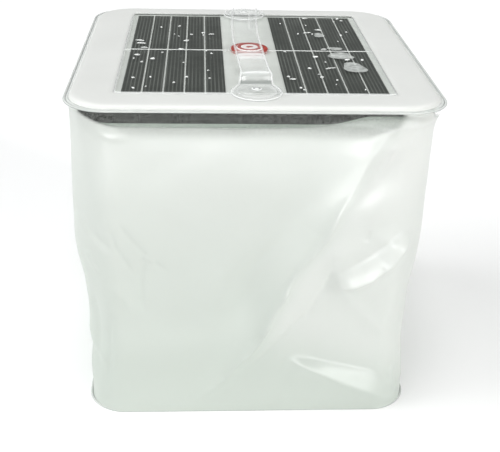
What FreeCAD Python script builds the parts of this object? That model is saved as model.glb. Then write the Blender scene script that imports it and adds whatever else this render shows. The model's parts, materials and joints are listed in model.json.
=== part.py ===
import FreeCAD, Part

import math
import os
import re

import Sketcher

# Collapsible solar lantern: a frosted film cube that is blown up through a valve in its base and
# pressed flat for packing. A white top carries the solar module, the power button and a clear strap;
# a shallow tray under it holds the lights, the board and the cell. Millimetres. The origin is the
# middle of the base, on the surface that the lantern stands on; +Z is up and -Y is the front.

SIZES = {
    # outline of the cube, seen from above
    "top_width": 152.0,
    "base_width": 147.0,
    "corner_radius": 17.0,
    "weld_width": 2.0,
    "weld_thick": 1.0,
    "weld_seat": 0.2,
    "rim_height": 144.8,
    # film base and wall
    "base_film": 0.6,
    "wall_film": 0.5,
    "wall_foot_width": 143.0,
    "wall_waist_width": 145.6,
    "wall_top_width": 147.0,
    "wall_gap": 0.4,
    "seam_width": 7.0,
    "seam_thick": 0.4,
    # white top sheet, its window and the dark gasket under it
    "sheet_thick": 2.4,
    "sheet_edge_round": 1.6,
    "window_round": 2.0,
    "window_gap": 0.4,
    "plate_thick": 1.6,
    "plate_width": 139.0,
    "plate_corner": 13.0,
    "gasket_width": 143.0,
    "gasket_corner": 15.0,
    "gasket_lip": 1.0,
    "gasket_lip_width": 137.0,
    "gasket_lip_corner": 12.0,
    # electronics tray
    "tray_width": 141.6,
    "tray_corner": 14.0,
    "tray_depth": 5.4,
    "tray_wall": 1.4,
    "tray_floor": 1.2,
    "tray_round": 1.0,
    "post_radius": 2.6,
    "post_height": 1.4,
    "post_spread_x": 88.0,
    "post_spread_y": 78.0,
    # solar module
    "module_width": 113.0,
    "module_depth": 122.0,
    "module_shift": 1.5,
    "module_round": 1.8,
    "backing_thick": 1.5,
    "cell_block_depth": 117.0,
    "cell_block_width": 41.4,
    "cell_block_gap": 24.4,
    "cell_slit": 0.7,
    "cell_thick": 0.2,
    "ribbon_width": 1.1,
    "ribbon_thick": 0.1,
    "ribbon_overrun": 3.0,
    "ribbon_inset": 0.3,
    "ribbon_gap": 0.6,
    "cover_thick": 0.8,
    "cover_gap": 0.1,
    # power button
    "ring_radius": 8.3,
    "ring_bore": 6.3,
    "ring_rise": 0.3,
    "button_radius": 6.0,
    "button_rise": 0.8,
    "button_thick": 1.1,
    "button_edge_round": 0.4,
    "plunger_radius": 2.0,
    "plunger_drop": 3.3,
    "plunger_gap": 0.5,
    # handle strap
    "strap_width": 12.5,
    "strap_thick": 0.9,
    "strap_reach": 59.5,
    "strap_shift": 1.0,
    "patch_radius": 10.4,
    "patch_thick": 0.5,
    "boss_radius": 2.2,
    "boss_height": 0.5,
    # board and lights
    "board_width": 98.0,
    "board_depth": 88.0,
    "board_thick": 1.0,
    "board_round": 3.0,
    "bay_width": 64.0,
    "bay_depth": 31.4,
    "bay_y": 22.0,
    "light_reach_x": 44.0,
    "light_reach_y": 40.8,
    "light_pitch": 25.0,
    "light_length": 3.5,
    "light_width": 2.8,
    "light_height": 0.7,
    "screw_head_radius": 2.0,
    "screw_head_height": 1.0,
    "screw_radius": 0.9,
    "screw_hole_gap": 0.1,
    "screw_bore_gap": 0.05,
    "screw_foot_gap": 0.2,
    "switch_side": 6.0,
    "switch_height": 2.0,
    "switch_stem_radius": 1.6,
    "switch_stem_height": 0.5,
    # rechargeable cell
    "battery_length": 60.0,
    "battery_width": 29.0,
    "battery_thick": 3.8,
    "battery_round": 1.5,
    "pad_thick": 0.4,
    "pad_inset": 4.0,
    "pad_round": 1.0,
    "lead_radius": 0.4,
    "lead_pitch": 2.0,
    # valve
    "valve_hole_radius": 11.0,
    "collar_radius": 16.0,
    "collar_thick": 0.8,
    "stem_radius": 6.5,
    "stem_bore": 5.0,
    "stem_foot": 1.7,
    "stem_length": 11.0,
    "ear_reach": 8.6,
    "ear_root": 0.5,
    "ear_thick": 1.0,
    "cap_radius": 6.3,
    "cap_thick": 1.0,
    "cap_foot": 0.4,
    "plug_root": 4.9,
    "plug_tip": 3.9,
    "plug_length": 3.9,
    "tether_width": 4.0,
    "tether_reach": 7.6,
    "tether_thick": 0.5,
    "tether_root": 1.0,
    "tool_overrun": 1.0,
    "diaphragm_height": 7.0,
    "diaphragm_film": 0.5,
    "cone_foot_gap": 0.2,
    "cone_neck_gap": 0.4,
    "flap_thick": 0.4,
    "flap_inset": 0.3,
}

NEARLY = 0.01
CLEAR_OF_WINDOW = 5.0

CELL_COLUMNS = 5
CELL_ROWS = 2
LIGHTS_PER_SIDE = 3

# Chips on the board: name, length, width, height, and the middle's place across and along it.
CHIPS = [
    ("charge_chip", 5.0, 4.4, 1.2, -22.0, -20.0),
    ("driver_chip", 3.0, 3.0, 0.9, -12.0, -26.0),
    ("diode", 4.6, 2.8, 1.1, -32.0, -24.0),
    ("coil", 5.0, 5.0, 1.6, 20.0, -22.0),
    ("capacitor_in", 2.0, 1.25, 0.9, -22.0, -27.0),
    ("capacitor_out", 2.0, 1.25, 0.9, 27.0, -24.0),
    ("resistor", 2.0, 1.25, 0.5, 12.0, -28.0),
]
SOCKET = ("battery_socket", 6.0, 4.5, 2.2, 41.0, 0.0)

# Where the two pairs of wires run, as the middle line of each pair.
BATTERY_LEAD_Y = 14.0
BATTERY_LEAD_BEND = 5.0
PANEL_LEAD_X = -38.0
PANEL_LEAD_Y = -12.0
PANEL_LEAD_SWAY = 2.0

# Centre line of the strap: distance along Y from its middle, height over the module. It leaves the
# front patch flat, stands up steeply, runs over the button and comes down to the rear patch.
STRAP_LINE = [
    (-63.0, 0.95),
    (-53.2, 0.95),
    (-51.4, 5.5),
    (-26.0, 7.0),
    (8.0, 6.9),
    (32.0, 6.6),
    (50.4, 5.4),
    (53.2, 0.95),
    (63.0, 0.95),
]
STRAP_FOLD_CUT = 1.6

doc = FreeCAD.newDocument("solar_lantern")


def make_sheet():
    """Put every driving size in the spreadsheet, with its name as the alias."""
    sheet = doc.addObject("Spreadsheet::Sheet", "Sizes")
    for row, (name, size) in enumerate(SIZES.items(), start=1):
        sheet.set(f"A{row}", name)
        sheet.set(f"B{row}", str(size))
        sheet.setAlias(f"B{row}", name)
    doc.recompute()
    return sheet


def swap_names(text, form):
    """Replace each size's name in a formula."""
    return re.sub(r"[a-z_]+", lambda word: form(word.group()), text)


def bound(text):
    """A formula of size names, written so that FreeCAD reads the spreadsheet."""
    return swap_names(text, lambda name: f"Sizes.{name}" if name in SIZES else name)


def value(text):
    """The same formula as a number, from the spreadsheet's cells."""
    numbers = swap_names(text, lambda name: f"({sheet.get(name)})" if name in SIZES else name)
    return FreeCAD.Units.parseQuantity(numbers).Value


def bind(thing, **formulas):
    """Bind properties to formulas; at_x, at_y and at_z bind the place."""
    for name, text in formulas.items():
        path = f"Placement.Base.{name[-1]}" if name.startswith("at_") else name
        thing.setExpression(path, bound(text))


def named(kind, label):
    thing = doc.addObject(kind, label)
    thing.Label = label
    return thing


def new_body(label, **place):
    body = named("PartDesign::Body", label)
    bind(body, **place)
    return body


def new_sketch(body, plane="XY_Plane", lift=None):
    """A sketch on one of the body's own planes, raised by a formula."""
    sketch = body.newObject("Sketcher::SketchObject", body.Label + "_sketch")
    support = next(f for f in body.Origin.OriginFeatures if f.Role == plane)
    sketch.AttachmentSupport = [(support, "")]
    sketch.MapMode = "FlatFace"
    if lift:
        sketch.setExpression("AttachmentOffset.Base.z", bound(lift))
    return sketch


def constrain(sketch, kind, *what, size=None):
    """Add a constraint, bound to a formula where it has a size."""
    if size is None:
        return sketch.addConstraint(Sketcher.Constraint(kind, *what))
    index = sketch.addConstraint(Sketcher.Constraint(kind, *what, value(size)))
    sketch.renameConstraint(index, f"size{index}")
    sketch.setExpression(f"Constraints.size{index}", bound(size))
    return index


def rounded_rectangle(sketch, width, depth, radius, x="0", y="0"):
    """A rectangle with rounded corners, centred on (x, y)."""
    far_x = value(width) / 2
    far_y = value(depth) / 2
    r = value(radius)
    mid = FreeCAD.Vector(value(x), value(y), 0)
    sides = []
    for quarter in range(4):
        turn = FreeCAD.Rotation(FreeCAD.Vector(0, 0, 1), 90 * quarter)
        along, out = (far_x, far_y) if quarter % 2 == 0 else (far_y, far_x)
        start = mid + turn.multVec(FreeCAD.Vector(r - along, -out, 0))
        end = mid + turn.multVec(FreeCAD.Vector(along - r, -out, 0))
        centre = mid + turn.multVec(FreeCAD.Vector(along - r, r - out, 0))
        circle = Part.Circle(centre, FreeCAD.Vector(0, 0, 1), r)
        opening = math.pi / 2 * (quarter - 1)
        line = sketch.addGeometry(Part.LineSegment(start, end))
        arc = sketch.addGeometry(Part.ArcOfCircle(circle, opening, opening + math.pi / 2))
        sides.append((line, arc))
    for quarter, (line, arc) in enumerate(sides):
        following = sides[(quarter + 1) % 4][0]
        constrain(sketch, "Tangent", line, 2, arc, 1)
        constrain(sketch, "Tangent", arc, 2, following, 1)
        constrain(sketch, "Horizontal" if quarter % 2 == 0 else "Vertical", line)
        if quarter:
            constrain(sketch, "Equal", sides[0][1], arc)
    front, right, back, left = (line for line, _ in sides)
    constrain(sketch, "DistanceX", left, 1, right, 1, size=width)
    constrain(sketch, "DistanceY", front, 1, back, 1, size=depth)
    constrain(sketch, "Radius", sides[0][1], size=radius)
    place(sketch, right, 2, f"{x} + ({width}) / 2", f"{y} + ({depth}) / 2 - ({radius})")


def place(sketch, geometry, point, x, y):
    """Hold a point of the sketch at (x, y) from its origin."""
    for kind, text in (("DistanceX", x), ("DistanceY", y)):
        if abs(value(text)) < 1e-9:
            axis = -2 if kind == "DistanceX" else -1
            constrain(sketch, "PointOnObject", geometry, point, axis)
        else:
            constrain(sketch, kind, -1, 1, geometry, point, size=text)


def circle(sketch, radius, x="0", y="0"):
    mid = FreeCAD.Vector(value(x), value(y), 0)
    ring = sketch.addGeometry(Part.Circle(mid, FreeCAD.Vector(0, 0, 1), value(radius)))
    place(sketch, ring, 3, x, y)
    constrain(sketch, "Radius", ring, size=radius)


def pad(body, sketch, height):
    feature = body.newObject("PartDesign::Pad", body.Label + "_pad")
    feature.Profile = sketch
    feature.setExpression("Length", bound(height))
    sketch.Visibility = False
    doc.recompute()
    return feature


def pocket(body, sketch, depth):
    """Cut downwards from a sketch, and check that it took material away."""
    before = body.Shape.Volume
    feature = body.newObject("PartDesign::Pocket", body.Label + "_pocket")
    feature.Profile = sketch
    feature.setExpression("Length", bound(depth))
    doc.recompute()
    if body.Shape.Volume >= before:
        raise RuntimeError(f"{body.Label}: the pocket cut nothing")
    return feature


def round_edges(body, base, radius, wanted):
    """Round the edges of a feature that pass the test."""
    names = [f"Edge{n}" for n, edge in enumerate(base.Shape.Edges, start=1) if wanted(edge)]
    feature = body.newObject("PartDesign::Fillet", body.Label + "_round")
    feature.Base = (base, names)
    feature.setExpression("Radius", bound(radius))
    doc.recompute()
    return feature


def slab(label, width, depth, radius, height, **where):
    """A plate with rounded corners."""
    body = new_body(label, **where)
    sketch = new_sketch(body)
    rounded_rectangle(sketch, width, depth, radius)
    pad(body, sketch, height)
    return body


def frame_ring(label, width, inner_width, radius, inner_radius, height, **where):
    """A square ring with rounded corners."""
    body = new_body(label, **where)
    sketch = new_sketch(body)
    rounded_rectangle(sketch, width, width, radius)
    rounded_rectangle(sketch, inner_width, inner_width, inner_radius)
    pad(body, sketch, height)
    return body


def disc(label, radius, height, bore=None, **where):
    body = new_body(label, **where)
    sketch = new_sketch(body)
    circle(sketch, radius)
    if bore:
        circle(sketch, bore)
    pad(body, sketch, height)
    return body


def block(label, length, width, height, **where):
    """A box whose middle stands at the given place."""
    box = named("Part::Box", label)
    bind(box, Length=length, Width=width, Height=height)
    x = where.pop("at_x", "0")
    y = where.pop("at_y", "0")
    bind(box, at_x=f"{x} - ({length}) / 2", at_y=f"{y} - ({width}) / 2", **where)
    return box


def rod(label, radius, height, **where):
    cylinder = named("Part::Cylinder", label)
    bind(cylinder, Radius=radius, Height=height, **where)
    return cylinder


def group(label, pieces):
    """Several separate solids under one name."""
    compound = named("Part::Compound", label)
    compound.Links = pieces
    doc.recompute()
    return compound


def joined(label, pieces):
    """Several solids fused into one."""
    fusion = named("Part::MultiFuse", label)
    fusion.Shapes = pieces
    doc.recompute()
    return fusion


def rounded_route(points, most_cut=math.inf):
    """Straight runs through the points, joined by tangent arcs."""
    edges = []
    last = points[0]
    for before, corner, after in zip(points, points[1:], points[2:]):
        back = (before - corner).normalize()
        ahead = (after - corner).normalize()
        turn = math.pi - back.getAngle(ahead)
        shorter = min(before.distanceToPoint(corner), after.distanceToPoint(corner))
        cut = min(0.45 * shorter, most_cut)
        radius = cut / math.tan(turn / 2)
        first = corner + back * cut
        second = corner + ahead * cut
        crown = corner + (back + ahead).normalize() * (math.hypot(radius, cut) - radius)
        edges.append(Part.LineSegment(last, first).toShape())
        edges.append(Part.Arc(first, crown, second).toShape())
        last = second
    edges.append(Part.LineSegment(last, points[-1]).toShape())
    return Part.Wire(edges)


# ---------------------------------------------------------------- base, wall and valve


def make_bottom_sheet():
    body = new_body("bottom_sheet", at_z="0")
    sketch = new_sketch(body)
    inner = "base_width - 2 * weld_width"
    rounded_rectangle(sketch, inner, inner, "corner_radius - weld_width")
    circle(sketch, "valve_hole_radius")
    pad(body, sketch, "base_film")
    return body


def make_bottom_rim_weld():
    return frame_ring("bottom_rim_weld", "base_width", "base_width - 2 * weld_width",
                      "corner_radius", "corner_radius - weld_width", "weld_thick", at_z="0")


def wall_loft(body, kind, inset):
    """A loft through the wall's four outlines, shrunk by the inset on every side."""
    levels = [
        ("weld_thick", "wall_foot_width"),
        ("rim_height / 5", "wall_waist_width"),
        ("rim_height * 3 / 5", "wall_waist_width"),
        ("rim_height - wall_gap", "wall_top_width"),
    ]
    outlines = []
    for height, width in levels:
        sketch = new_sketch(body, lift=height)
        side = f"{width} - 2 * {inset}"
        rounded_rectangle(sketch, side, side, f"corner_radius - weld_width - {inset}")
        outlines.append(sketch)
    loft = body.newObject(kind, body.Label + "_loft")
    loft.Profile = outlines[0]
    loft.Sections = outlines[1:]
    doc.recompute()
    return loft


def make_body_sleeve():
    body = new_body("body_sleeve", at_z="0")
    wall_loft(body, "PartDesign::AdditiveLoft", "0 * wall_film")
    wall_loft(body, "PartDesign::SubtractiveLoft", "wall_film")
    return body


def make_sleeve_seam(wall):
    """The strip where the wall film's two ends are welded: a raised band down the back."""
    outer = named("PartDesign::Body", "seam_outer")
    wall_loft(outer, "PartDesign::AdditiveLoft", "-1 * seam_thick")
    inner = named("PartDesign::Body", "seam_inner")
    wall_loft(inner, "PartDesign::AdditiveLoft", "0 * wall_film")
    skin = named("Part::Cut", "seam_skin")
    skin.Base = outer
    skin.Tool = inner
    reach = block("seam_reach", "seam_width", "corner_radius", "rim_height - 8 * weld_thick",
                  at_y="base_width / 2", at_z="4 * weld_thick")
    seam = named("Part::Common", "sleeve_seam")
    seam.Base = skin
    seam.Tool = reach
    doc.recompute()
    return seam


def make_valve_collar():
    return disc("valve_collar", "collar_radius", "collar_thick", bore="valve_hole_radius",
                at_z="base_film")


def make_valve_diaphragm():
    """The thin cone of film that lets the valve be pushed in and pulled out."""
    body = new_body("valve_diaphragm", at_z="base_film + collar_thick")
    sketch = new_sketch(body, plane="XZ_Plane")
    foot = value("valve_hole_radius + cone_foot_gap")
    top = value("stem_radius + cone_neck_gap")
    height = value("diaphragm_height")
    film = value("diaphragm_film")
    corners = [(foot, 0), (foot + film, 0), (top + film, height), (top, height)]
    lines = []
    for n, (x, y) in enumerate(corners):
        x2, y2 = corners[(n + 1) % 4]
        start = FreeCAD.Vector(x, y, 0)
        lines.append(sketch.addGeometry(Part.LineSegment(start, FreeCAD.Vector(x2, y2, 0))))
    for n, line in enumerate(lines):
        constrain(sketch, "Coincident", line, 2, lines[(n + 1) % 4], 1)
    place(sketch, lines[0], 1, "valve_hole_radius + cone_foot_gap", "0")
    place(sketch, lines[1], 1, "valve_hole_radius + cone_foot_gap + diaphragm_film", "0")
    place(sketch, lines[2], 1, "stem_radius + cone_neck_gap + diaphragm_film", "diaphragm_height")
    place(sketch, lines[3], 1, "stem_radius + cone_neck_gap", "diaphragm_height")
    turn = body.newObject("PartDesign::Revolution", "valve_diaphragm_turn")
    turn.Profile = sketch
    turn.ReferenceAxis = (sketch, ["V_Axis"])
    turn.Angle = 360
    doc.recompute()
    return body


def make_valve_stem():
    """The tube that is blown into, with the small ear that its cap hangs from."""
    tube = rod("stem_tube", "stem_radius", "stem_length", at_z="stem_foot")
    ear = block("stem_ear", "ear_reach - stem_bore - ear_root", "tether_width", "ear_thick",
                at_x="(ear_reach + stem_bore + ear_root) / 2", at_z="stem_foot")
    solid = joined("stem_solid", [tube, ear])
    bore = rod("stem_bore_tool", "stem_bore", "stem_length + 2 * tool_overrun",
               at_z="stem_foot - tool_overrun")
    stem = named("Part::Cut", "valve_stem")
    stem.Base = solid
    stem.Tool = bore
    doc.recompute()
    return stem


def make_valve_flap():
    """The film disc on the inner end that keeps the air in."""
    return rod("valve_flap", "stem_radius - flap_inset", "flap_thick", at_z="stem_foot + stem_length")


def make_valve_cap():
    """The cap's disc with its tapered plug."""
    top = rod("cap_disc", "cap_radius", "cap_thick", at_z="cap_foot")
    plug = named("Part::Cone", "cap_plug")
    bind(plug, Radius1="plug_root", Radius2="plug_tip", Height="plug_length",
         at_z="cap_foot + cap_thick")
    return joined("valve_cap", [top, plug])


def make_valve_tether():
    """The strip from the cap's edge to its fold line under the ear on the stem."""
    strip = block("tether_strip", "tether_reach - cap_radius + tether_root", "tether_width", "tether_thick",
                  at_x="(tether_reach + cap_radius - tether_root) / 2",
                  at_z="cap_foot + cap_thick - tether_thick")
    disc_room = rod("tether_room", "cap_radius", "cap_thick + 2 * tool_overrun",
                    at_z="cap_foot - tool_overrun")
    tether = named("Part::Cut", "valve_tether")
    tether.Base = strip
    tether.Tool = disc_room
    doc.recompute()
    return tether


# ---------------------------------------------------------------- top and solar module

SHEET_TOP = "rim_height + weld_seat + sheet_thick"
MODULE_FOOT = "rim_height + weld_seat"
CELL_FOOT = MODULE_FOOT + " + backing_thick"
COVER_FOOT = CELL_FOOT + " + cell_thick + ribbon_thick"
COVER_TOP = COVER_FOOT + " + cover_thick"
PLATE_FOOT = "rim_height + weld_seat - plate_thick"
GASKET_FOOT = PLATE_FOOT + " - gasket_lip"
TRAY_FOOT = GASKET_FOOT + " - tray_depth"
BOARD_FOOT = TRAY_FOOT + " + tray_floor + post_height"


def make_top_sheet():
    """White top sheet, pillowed at its edge, with the module's window."""
    body = new_body("top_sheet", at_z="rim_height + weld_seat")
    sketch = new_sketch(body)
    width = "top_width - 2 * weld_width"
    rounded_rectangle(sketch, width, width, "corner_radius - weld_width")
    rounded_rectangle(sketch, "module_width + window_gap", "module_depth + window_gap", "window_round",
                      y="module_shift")
    base = pad(body, sketch, "sheet_thick")
    top = value("sheet_thick")
    near = value("module_depth") / 2 + CLEAR_OF_WINDOW

    def is_outer_top(edge):
        box = edge.BoundBox
        high = box.ZMin > top - NEARLY
        return high and max(abs(box.XMax), abs(box.XMin), abs(box.YMax), abs(box.YMin)) > near

    round_edges(body, base, "sheet_edge_round", is_outer_top)
    return body


def make_top_rim_weld():
    return frame_ring("top_rim_weld", "top_width", "top_width - 2 * weld_width",
                      "corner_radius", "corner_radius - weld_width", "weld_thick",
                      at_z="rim_height + weld_seat")


def make_top_plate():
    """The stiff plate that carries the module, with the button's hole."""
    body = new_body("top_plate", at_z=PLATE_FOOT)
    sketch = new_sketch(body)
    rounded_rectangle(sketch, "plate_width", "plate_width", "plate_corner")
    circle(sketch, "plunger_radius + plunger_gap", y="module_shift")
    pad(body, sketch, "plate_thick")
    return body


def make_panel_gasket():
    """Dark foam gasket: a lip between tray and plate and a band round the plate's edge."""
    body = new_body("panel_gasket", at_z=GASKET_FOOT)
    lip = new_sketch(body)
    rounded_rectangle(lip, "gasket_width", "gasket_width", "gasket_corner")
    rounded_rectangle(lip, "gasket_lip_width", "gasket_lip_width", "gasket_lip_corner")
    pad(body, lip, "gasket_lip")
    band = new_sketch(body, lift="gasket_lip")
    rounded_rectangle(band, "gasket_width", "gasket_width", "gasket_corner")
    rounded_rectangle(band, "plate_width", "plate_width", "plate_corner")
    pad(body, band, "plate_thick")
    return body


def make_solar_backing():
    body = new_body("solar_backing", at_y="module_shift", at_z=MODULE_FOOT)
    sketch = new_sketch(body)
    rounded_rectangle(sketch, "module_width", "module_depth", "module_round")
    circle(sketch, "plunger_radius + plunger_gap")
    pad(body, sketch, "backing_thick")
    return body


def make_cell_group(label, side):
    """Five columns and two rows of cell strips on one side of the middle strip."""
    width = f"((cell_block_width - {CELL_COLUMNS - 1} * cell_slit) / {CELL_COLUMNS})"
    depth = "((cell_block_depth - ribbon_width) / 2)"
    strips = []
    for column in range(CELL_COLUMNS):
        for row in range(CELL_ROWS):
            across = f"(cell_block_gap / 2 + {column} * ({width} + cell_slit) + {width} / 2)"
            along = f"(ribbon_width + {depth}) / 2 * {2 * row - 1}"
            strips.append(block(f"{label}_strip_{column}_{row}", width, depth, "cell_thick",
                                at_x=f"{side} * {across}", at_y=f"module_shift + {along}",
                                at_z=CELL_FOOT))
    return group(label, strips)


def make_cell_ribbons():
    """The flat tinned ribbon that joins the two rows of cells, either side of the button."""
    reach = "(cell_block_gap / 2 + cell_block_width + ribbon_overrun)"
    inner = "(ring_radius + ribbon_gap)"
    halves = []
    for name, side in (("left", -1), ("right", 1)):
        halves.append(block(f"ribbon_{name}", f"{reach} - {inner}", "ribbon_width - ribbon_inset",
                            "cell_thick + ribbon_thick",
                            at_x=f"{side} * ({reach} + {inner}) / 2", at_y="module_shift",
                            at_z=CELL_FOOT))
    return group("cell_ribbons", halves)


def make_solar_cover():
    """Clear laminate over the cells, open round the button."""
    body = new_body("solar_cover", at_y="module_shift", at_z=COVER_FOOT)
    sketch = new_sketch(body)
    rounded_rectangle(sketch, "module_width", "module_depth", "module_round")
    circle(sketch, "ring_radius + cover_gap")
    pad(body, sketch, "cover_thick")
    return body


def make_button_ring():
    return disc("button_ring", "ring_radius", f"({COVER_TOP}) - ({CELL_FOOT}) + ring_rise",
                bore="ring_bore", at_y="module_shift", at_z=CELL_FOOT)


def make_power_button():
    """The button's cap with the plunger that reaches down to the switch."""
    foot = f"{COVER_TOP} + button_rise - button_thick"
    cap = rod("button_cap", "button_radius", "button_thick", at_y="module_shift", at_z=foot)
    top = named("Part::Fillet", "button_cap_round")
    top.Base = cap
    doc.recompute()
    highest = cap.Shape.BoundBox.ZMax
    rim = [n for n, edge in enumerate(cap.Shape.Edges, start=1)
           if edge.BoundBox.ZMin > highest - NEARLY]
    edge_round = value("button_edge_round")
    top.Edges = [(n, edge_round, edge_round) for n in rim]
    plunger = rod("button_plunger", "plunger_radius", "plunger_drop", at_y="module_shift",
                  at_z=f"{foot} - plunger_drop")
    return joined("power_button", [top, plunger])


# ---------------------------------------------------------------- handle strap


def make_strap_patch(label, side):
    """Round clear patch that welds one end of the strap to the top."""
    return disc(label, "patch_radius", "patch_thick", at_z=COVER_TOP,
                at_y=f"strap_shift + {side} * strap_reach")


def strap_path():
    """The strap's centre line, with its folds rounded."""
    base = value(COVER_TOP)
    shift = value("strap_shift")
    points = [FreeCAD.Vector(0, y + shift, base + height) for y, height in STRAP_LINE]
    return rounded_route(points, STRAP_FOLD_CUT)


def make_handle_strap():
    """A flat clear band of even thickness that follows its path."""
    half = value("strap_width") / 2
    thick = value("strap_thick")
    path = strap_path()
    lower = path.makeOffset2D(thick / 2, 0, False, True, False)
    upper = path.makeOffset2D(-thick / 2, 0, False, True, False)
    ends = [Part.LineSegment(lower.OrderedVertexes[n].Point, upper.OrderedVertexes[n].Point)
            for n in (0, -1)]
    outline = Part.Wire(Part.__sortEdges__(lower.Edges + upper.Edges
                                           + [end.toShape() for end in ends]))
    band = Part.Face(outline).extrude(FreeCAD.Vector(2 * half, 0, 0))
    strap = named("Part::Feature", "handle_strap")
    strap.Shape = band
    strap.Placement = FreeCAD.Placement(FreeCAD.Vector(-half, 0, 0), FreeCAD.Rotation())
    return strap


def make_strap_bosses():
    """The small round bosses moulded in the middle of each patch, over the strap's ends."""
    lift = f"{COVER_TOP} + patch_thick + strap_thick"
    bosses = []
    for name, side in (("front", -1), ("rear", 1)):
        bosses.append(rod(f"boss_{name}", "boss_radius", "boss_height", at_z=lift,
                          at_y=f"strap_shift + {side} * strap_reach"))
    return group("strap_bosses", bosses)


# ---------------------------------------------------------------- tray and electronics


def make_electronics_tray():
    """Shallow frosted tray, open at the top, with four board posts."""
    body = new_body("electronics_tray", at_z=TRAY_FOOT)
    floor = new_sketch(body)
    rounded_rectangle(floor, "tray_width", "tray_width", "tray_corner")
    base = pad(body, floor, "tray_floor")

    def is_outer_foot(edge):
        return edge.BoundBox.ZMax < 1e-6

    round_edges(body, base, "tray_round", is_outer_foot)
    wall = new_sketch(body, lift="tray_floor")
    inner = "tray_width - 2 * tray_wall"
    rounded_rectangle(wall, "tray_width", "tray_width", "tray_corner")
    rounded_rectangle(wall, inner, inner, "tray_corner - tray_wall")
    pad(body, wall, "tray_depth - tray_floor")
    posts = new_sketch(body, lift="tray_floor")
    for x, y in post_places():
        circle(posts, "post_radius", x=x, y=y)
    pad(body, posts, "post_height")
    holes = new_sketch(body, lift="tray_floor + post_height")
    for x, y in post_places():
        circle(holes, "screw_radius", x=x, y=y)
    pocket(body, holes, "post_height")
    return body


def post_places():
    return [(f"{side_x} * post_spread_x / 2", f"{side_y} * post_spread_y / 2")
            for side_x in (-1, 1) for side_y in (-1, 1)]


def make_main_board():
    """Circuit board with a bay for the cell and four screw holes."""
    body = new_body("main_board", at_z=BOARD_FOOT)
    sketch = new_sketch(body)
    rounded_rectangle(sketch, "board_width", "board_depth", "board_round")
    rounded_rectangle(sketch, "bay_width", "bay_depth", "board_round", y="bay_y")
    for x, y in post_places():
        circle(sketch, "screw_radius + screw_hole_gap", x=x, y=y)
    pad(body, sketch, "board_thick")
    return body


def make_board_screws():
    screws = []
    for n, (x, y) in enumerate(post_places()):
        head = rod(f"screw_head_{n}", "screw_head_radius", "screw_head_height",
                   at_x=x, at_y=y, at_z=f"{BOARD_FOOT} + board_thick")
        shank = rod(f"screw_shank_{n}", "screw_radius - screw_bore_gap",
                    "board_thick + post_height - screw_foot_gap",
                    at_x=x, at_y=y, at_z=f"{BOARD_FOOT} - post_height + screw_foot_gap")
        screws.append(joined(f"screw_{n}", [head, shank]))
    return group("board_screws", screws)


def make_light_chips():
    """White light chips on the underside of the board, along its four sides."""
    foot = f"{BOARD_FOOT} - light_height"
    chips = []
    for n in range(LIGHTS_PER_SIDE):
        along = f"{n - (LIGHTS_PER_SIDE - 1) / 2} * light_pitch"
        for name, side in (("low", -1), ("high", 1)):
            chips.append(block(f"light_y_{name}_{n}", "light_length", "light_width",
                               "light_height", at_x=along, at_y=f"{side} * light_reach_y",
                               at_z=foot))
            chips.append(block(f"light_x_{name}_{n}", "light_width", "light_length",
                               "light_height", at_x=f"{side} * light_reach_x", at_y=along,
                               at_z=foot))
    return group("light_chips", chips)


def chip(name, length, width, height, x, y):
    """A chip that stands on the board's upper side."""
    return block(name, str(length), str(width), str(height), at_x=str(x), at_y=str(y),
                 at_z=f"{BOARD_FOOT} + board_thick")


def make_board_components():
    """Charge and driver chips, diode, coil, capacitors and resistor."""
    return group("board_components", [chip(*row) for row in CHIPS])


def make_tact_switch():
    top = f"{BOARD_FOOT} + board_thick"
    case = block("switch_case", "switch_side", "switch_side", "switch_height",
                 at_y="module_shift", at_z=top)
    stem = rod("switch_stem", "switch_stem_radius", "switch_stem_height",
               at_y="module_shift", at_z=f"{top} + switch_height")
    return joined("tact_switch", [case, stem])


def make_battery_pad():
    return slab("battery_pad", "battery_length - 2 * pad_inset", "battery_width - 2 * pad_inset",
                "pad_round", "pad_thick",
                at_y="bay_y", at_z=f"{TRAY_FOOT} + tray_floor")


def make_battery():
    return slab("battery", "battery_length", "battery_width", "battery_round", "battery_thick",
                at_y="bay_y", at_z=f"{TRAY_FOOT} + tray_floor + pad_thick")


def make_battery_socket():
    return chip(*SOCKET)


def wire_along(route):
    """A round wire along a route, its volume compared with its section times its length."""
    points = [FreeCAD.Vector(*point) for point in route]
    radius = value("lead_radius")
    path = rounded_route(points)
    profile = Part.Wire(Part.Circle(points[0], points[1] - points[0], radius).toShape())
    tube = path.makePipeShell([profile], True, True)
    expected = math.pi * radius**2 * path.Length
    if abs(tube.Volume - expected) > 0.01 * expected:
        raise RuntimeError("a wire's volume is off")
    return tube


def lead_pair(label, route_of):
    """Two wires side by side, each half the pitch from the pair's middle line."""
    half = value("lead_pitch") / 2
    leads = named("Part::Feature", label)
    leads.Shape = Part.makeCompound([wire_along(route_of(-half)), wire_along(route_of(half))])
    leads.Placement = FreeCAD.Placement()
    return leads


def make_battery_leads():
    """Two wires from the cell's end, round to the socket on the board."""
    height = value(f"{BOARD_FOOT} + board_thick") + 2 * value("lead_radius")
    end_x = value("battery_length") / 2
    socket_x = SOCKET[4]
    socket_y = SOCKET[5] + SOCKET[2] / 2

    def route(off):
        return [
            (end_x, BATTERY_LEAD_Y + off, height),
            (end_x + BATTERY_LEAD_BEND - off, BATTERY_LEAD_Y + off, height),
            (socket_x - off, BATTERY_LEAD_Y - BATTERY_LEAD_BEND, height),
            (socket_x - off, socket_y, height),
        ]

    return lead_pair("battery_leads", route)


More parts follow.
